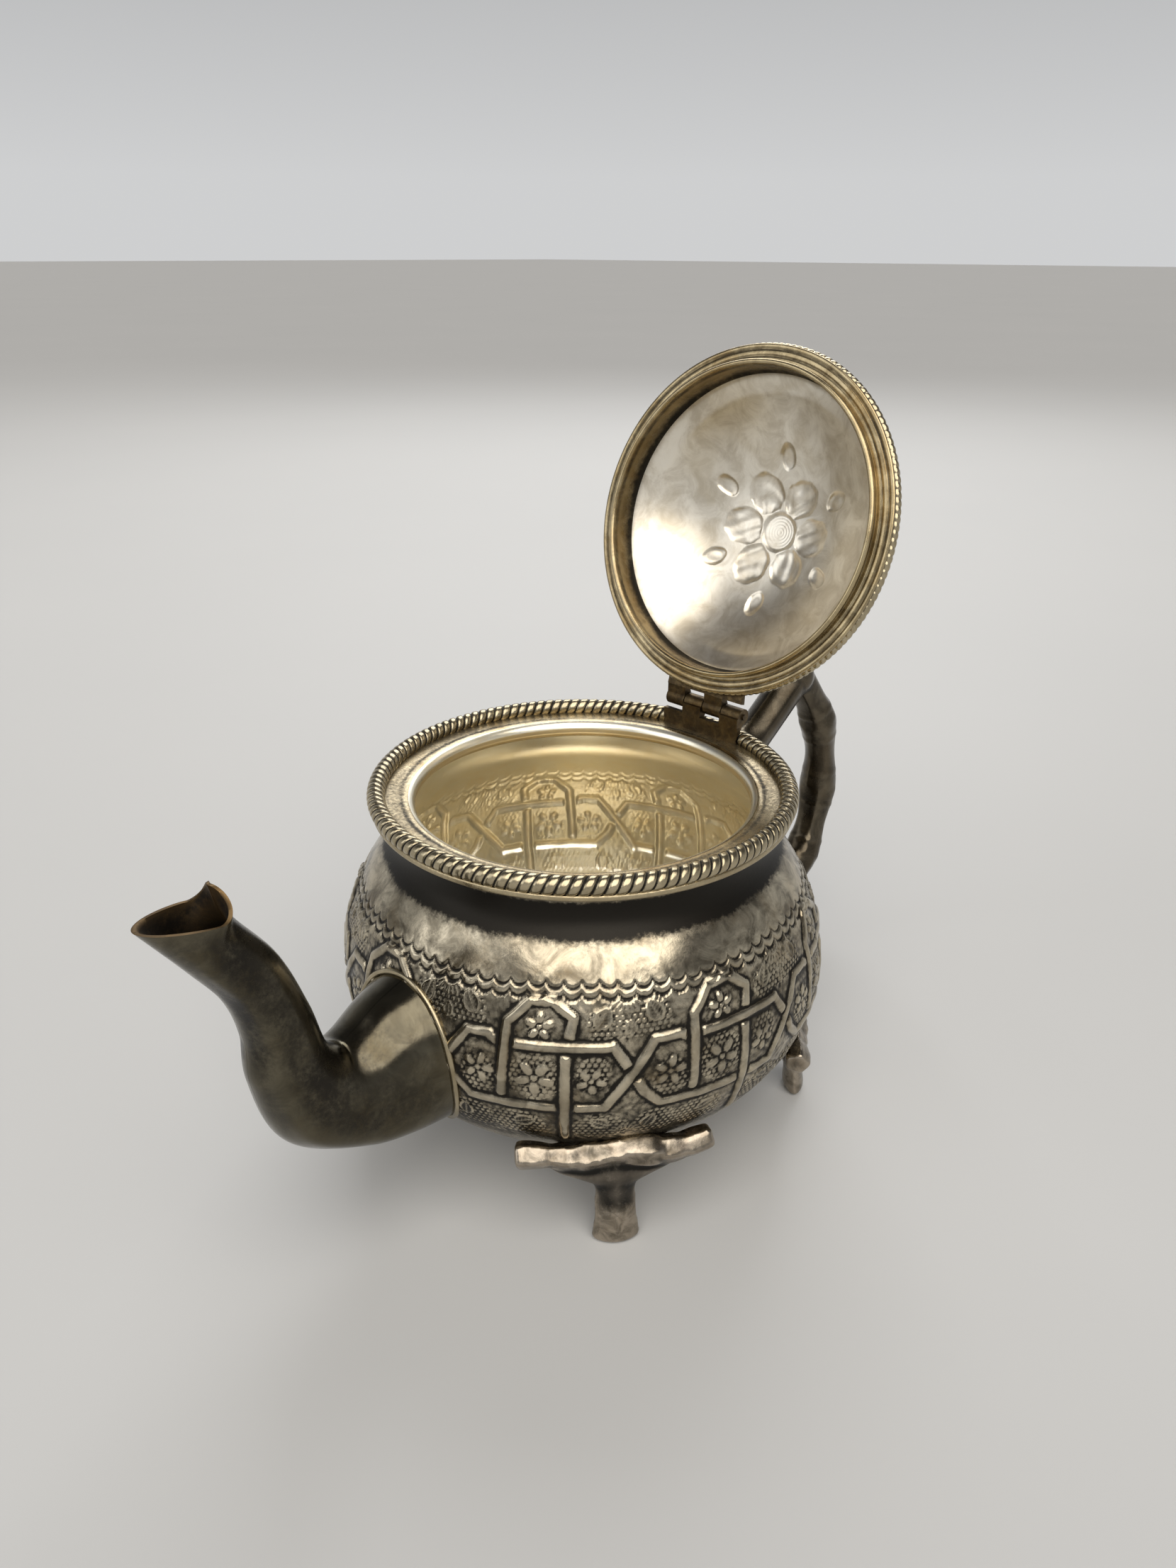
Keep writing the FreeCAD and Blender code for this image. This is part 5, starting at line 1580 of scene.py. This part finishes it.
@dataclass
class Studio:
    """A pale floor, soft lamps and a camera at the photo's viewing angle.

    Attributes:
        camera_place: The camera's place in millimetres.
        forward: The way it looks.
        right: The way that is right in its picture.
        roll: How far it is turned about its line of sight, in degrees.
        focal_pixels: Its focal length in the photo's pixels.
        sensor: The height of its sensor.
        key_place: Where the main lamp is, in metres.
        key_power: Its strength.
        key_spread: How wide it looks from the pot, in degrees.
        key_tint: Its colour.
        boxes: The soft lamps: the name, the place and size in metres, and the power of each.
    """

    camera_place: Place = (-182.73, -172.07, 208.53)
    forward: Place = (0.6608, 0.6162, -0.4285)
    right: Place = (0.6820, -0.7314, 0.0)
    roll: float = 0.25
    focal_pixels: float = 1590.0
    sensor: float = 36.0
    key_place: Place = (-0.45, -0.60, 1.05)
    key_power: float = 3.0
    key_spread: float = 68.0
    key_tint: Colour = (1.0, 0.95, 0.88)
    boxes: tuple[tuple[str, Place, float, float], ...] = (
        ("left", (-1.2, 0.5, 0.8), 1.1, 5.0),
        ("back", (0.9, 0.7, 1.1), 1.0, 11.0),
    )

    def add_camera(self) -> None:
        """Add the camera and make it the scene's."""
        lens = bpy.data.cameras.new("view")
        lens.sensor_fit = "VERTICAL"
        lens.sensor_height = self.sensor
        lens.lens = self.sensor * self.focal_pixels / PHOTO_HEIGHT
        lens.clip_start = 0.01
        camera = bpy.data.objects.new("view", lens)
        ahead = Vector(self.forward).normalized()
        level = Vector(self.right).normalized()
        above = level.cross(ahead).normalized()
        level = ahead.cross(above).normalized()
        turn = Matrix((level, above, -ahead)).transposed()
        place = Matrix.Translation(Vector(self.camera_place) * MM)
        camera.matrix_world = place @ turn.to_4x4() @ Matrix.Rotation(math.radians(self.roll), 4, "Z")
        bpy.context.scene.collection.objects.link(camera)
        bpy.context.scene.camera = camera

    def add_floor(self) -> None:
        """Add the pale floor."""
        bpy.ops.mesh.primitive_plane_add(size=40.0)
        floor = bpy.context.active_object
        floor.name = "floor"
        board = Board("pale_floor")
        tone = board.mix(board.noise(400.0, 3.0), (0.46, 0.465, 0.465), (0.49, 0.492, 0.49))
        board.dress(Base_Color=tone, Roughness=0.55)
        floor.data.materials.append(board.material)

    def hang(self, light: bpy.types.Light, place: Place, power: float, tint: Colour) -> None:
        """Hang a lamp so that it faces the pot."""
        light.energy = power
        light.color = tint
        lamp = bpy.data.objects.new(light.name, light)
        lamp.location = Vector(place)
        aim = Vector((0.0, 0.0, 0.06)) - lamp.location
        lamp.rotation_euler = aim.to_track_quat("-Z", "Y").to_euler()
        bpy.context.scene.collection.objects.link(lamp)

    def add_key(self) -> None:
        """Add the main lamp, broad and far off so that it lights the floor evenly."""
        light = bpy.data.lights.new("key", "SUN")
        light.angle = math.radians(self.key_spread)
        self.hang(light, self.key_place, self.key_power, self.key_tint)

    def add_box(self, name: str, place: Place, size: float, power: float) -> None:
        """Add a square soft lamp."""
        light = bpy.data.lights.new(name, "AREA")
        light.shape = "SQUARE"
        light.size = size
        self.hang(light, place, power, (1.0, 1.0, 1.0))

    def add_sky(self) -> None:
        """Add an even pale surround, dimmer overhead than at the horizon."""
        world = bpy.data.worlds.new("surround")
        bpy.context.scene.world = world
        world.use_nodes = True
        tree = world.node_tree
        coordinates = tree.nodes.new("ShaderNodeTexCoord")
        split = tree.nodes.new("ShaderNodeSeparateXYZ")
        ramp = tree.nodes.new("ShaderNodeValToRGB")
        tree.links.new(coordinates.outputs["Generated"], split.inputs[0])
        tree.links.new(split.outputs["Z"], ramp.inputs[0])
        ramp.color_ramp.elements[0].color = (0.62, 0.625, 0.63, 1.0)
        ramp.color_ramp.elements[0].position = 0.05
        ramp.color_ramp.elements[1].color = (0.10, 0.10, 0.105, 1.0)
        ramp.color_ramp.elements[1].position = 0.6
        tree.links.new(ramp.outputs[0], tree.nodes["Background"].inputs["Color"])

    def build(self) -> None:
        """Add the floor, the lamps, the surround and the camera."""
        self.add_floor()
        self.add_key()
        for box in self.boxes:
            self.add_box(*box)
        self.add_sky()
        self.add_camera()
        bpy.context.scene.view_settings.view_transform = "Standard"


# The whole


@dataclass
class Teapot:
    """The whole teapot, dressed over its solids.

    Attributes:
        foot_angle: How far each foot stands from the plane of spout and handle, in degrees.
    """

    frame: Mapping[str, object]
    foot_angle: float = 51.0

    def __post_init__(self) -> None:
        """Take the driving sizes from the solids and the record."""
        self.pot = Pot(belly_radius=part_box("body_bowl")[1].y / MM)
        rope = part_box("rope_border")[1]
        self.rim = Rim(rope_outer=rope.y / MM, rope_top=rope.z / MM)
        hinge = self.frame["joints"][0]
        pin = hinge["pos_m"]
        self.lid = Lid(pin=(pin[0] / MM, pin[2] / MM), open_angle=-hinge["range_deg"][0])

    def dress(self, piece: bpy.types.Object, nodes: Sequence[str], body: Body,
              finishes: Sequence[bpy.types.Material], slot: str) -> None:
        """Give a piece its finishes, let it ride on a body and let it stand for its solids."""
        for finish in finishes:
            piece.data.materials.append(finish)
        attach(piece, body.value)
        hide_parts(*nodes)
        LOG.info("%s stands for %s: %d points", piece.name, " and ".join(nodes), len(piece.data.vertices))

    def keep(self, node: str, finish: bpy.types.Material) -> None:
        """Keep a solid's own shape and give it a finish."""
        solid = self.frame["nodes"][node]
        solid.data.materials.clear()
        solid.data.materials.append(finish)
        LOG.info("%s keeps its shape", node)

    def build_pot(self) -> None:
        """Make the bowl, the rim and the strainer."""
        inside = POT_INSIDE.material("gilt_inside")
        rim = RIM.material("rim_silver")
        bowl = self.pot.build(Strapwork())
        chased = POT_OUTSIDE.material("chased_silver")
        self.dress(bowl, ["body_bowl", "strapwork"], Body.POT, [chased, inside], "pot_silver")
        self.dress(self.rim.build_collar(), ["mouth_collar"], Body.POT, [rim, inside], "rim_silver")
        rope = ROPE.material("rope_silver")
        self.dress(self.rim.build_rope(), ["rope_border"], Body.POT, [rope], "rim_silver")
        self.keep("strainer_plate", POT_INSIDE.material("strainer_plate"))

    def build_spout(self) -> None:
        """Make the two halves of the spout and the bead round its root."""
        spout = Spout(self.pot)
        finishes = [SPOUT.material("spout_silver"), SPOUT_INSIDE.material("spout_inside")]
        for name, node, side in (("spout_half_left", "spout_left_half", 1.0),
                                 ("spout_half_right", "spout_right_half", -1.0)):
            self.dress(spout.build_half(name, side), [node], Body.POT, finishes, "spout_silver")
        bead = ROPE.material("bead_silver")
        self.dress(spout.build_bead(), ["spout_root_bead"], Body.POT, [bead], "spout_silver")

    def build_castings(self) -> None:
        """Make the handle and the feet."""
        twig = HANDLE.material("handle_metal")
        self.dress(Handle(self.pot).build(), ["handle"], Body.POT, [twig], "handle_metal")
        finish = FOOT.material("foot_metal")
        for node, side, end in (("foot_front_left", -1, -1), ("foot_front_right", 1, -1),
                                ("foot_back_left", -1, 1), ("foot_back_right", 1, 1)):
            azimuth = side * (self.foot_angle if end > 0 else 180.0 - self.foot_angle)
            foot = Foot(self.pot).build(node.replace("foot", "twig_foot"), azimuth)
            self.dress(foot, [node], Body.POT, [finish], "foot_metal")

    def build_lid(self) -> None:
        """Make the lid, its trim and the hinge."""
        inside = LID_INSIDE.material("polished_silver")
        outside = POT_OUTSIDE.material("lid_silver")
        hinge = HINGE.material("hinge_metal")
        bezel = BEZEL.material("bezel_metal")
        wire = ROPE.material("wire_silver")
        self.dress(self.lid.build_dome(), ["lid_dome"], Body.LID, [inside, outside, bezel], "lid_silver")
        self.dress(self.lid.build_bezel(), ["lid_bezel"], Body.LID, [bezel], "bezel_metal")
        self.dress(self.lid.build_wire(), ["lid_rim_wire"], Body.LID, [wire], "lid_silver")
        for piece, node in zip(self.lid.build_finial(), ("finial_collar", "lid_finial")):
            self.dress(piece, [node], Body.LID, [outside], "lid_silver")
        for node in ("hinge_body_leaf", "hinge_lid_leaf", "hinge_pin"):
            self.keep(node, hinge)

    def build(self) -> None:
        """Make every piece."""
        self.build_pot()
        self.build_spout()
        self.build_castings()
        self.build_lid()


def main() -> None:
    """Load the frame, dress the teapot and set up the studio."""
    logging.basicConfig(level=logging.INFO, format="%(name)s: %(message)s")
    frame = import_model()
    Teapot(frame).build()
    Studio().build()


if __name__ == "__main__":
    main()
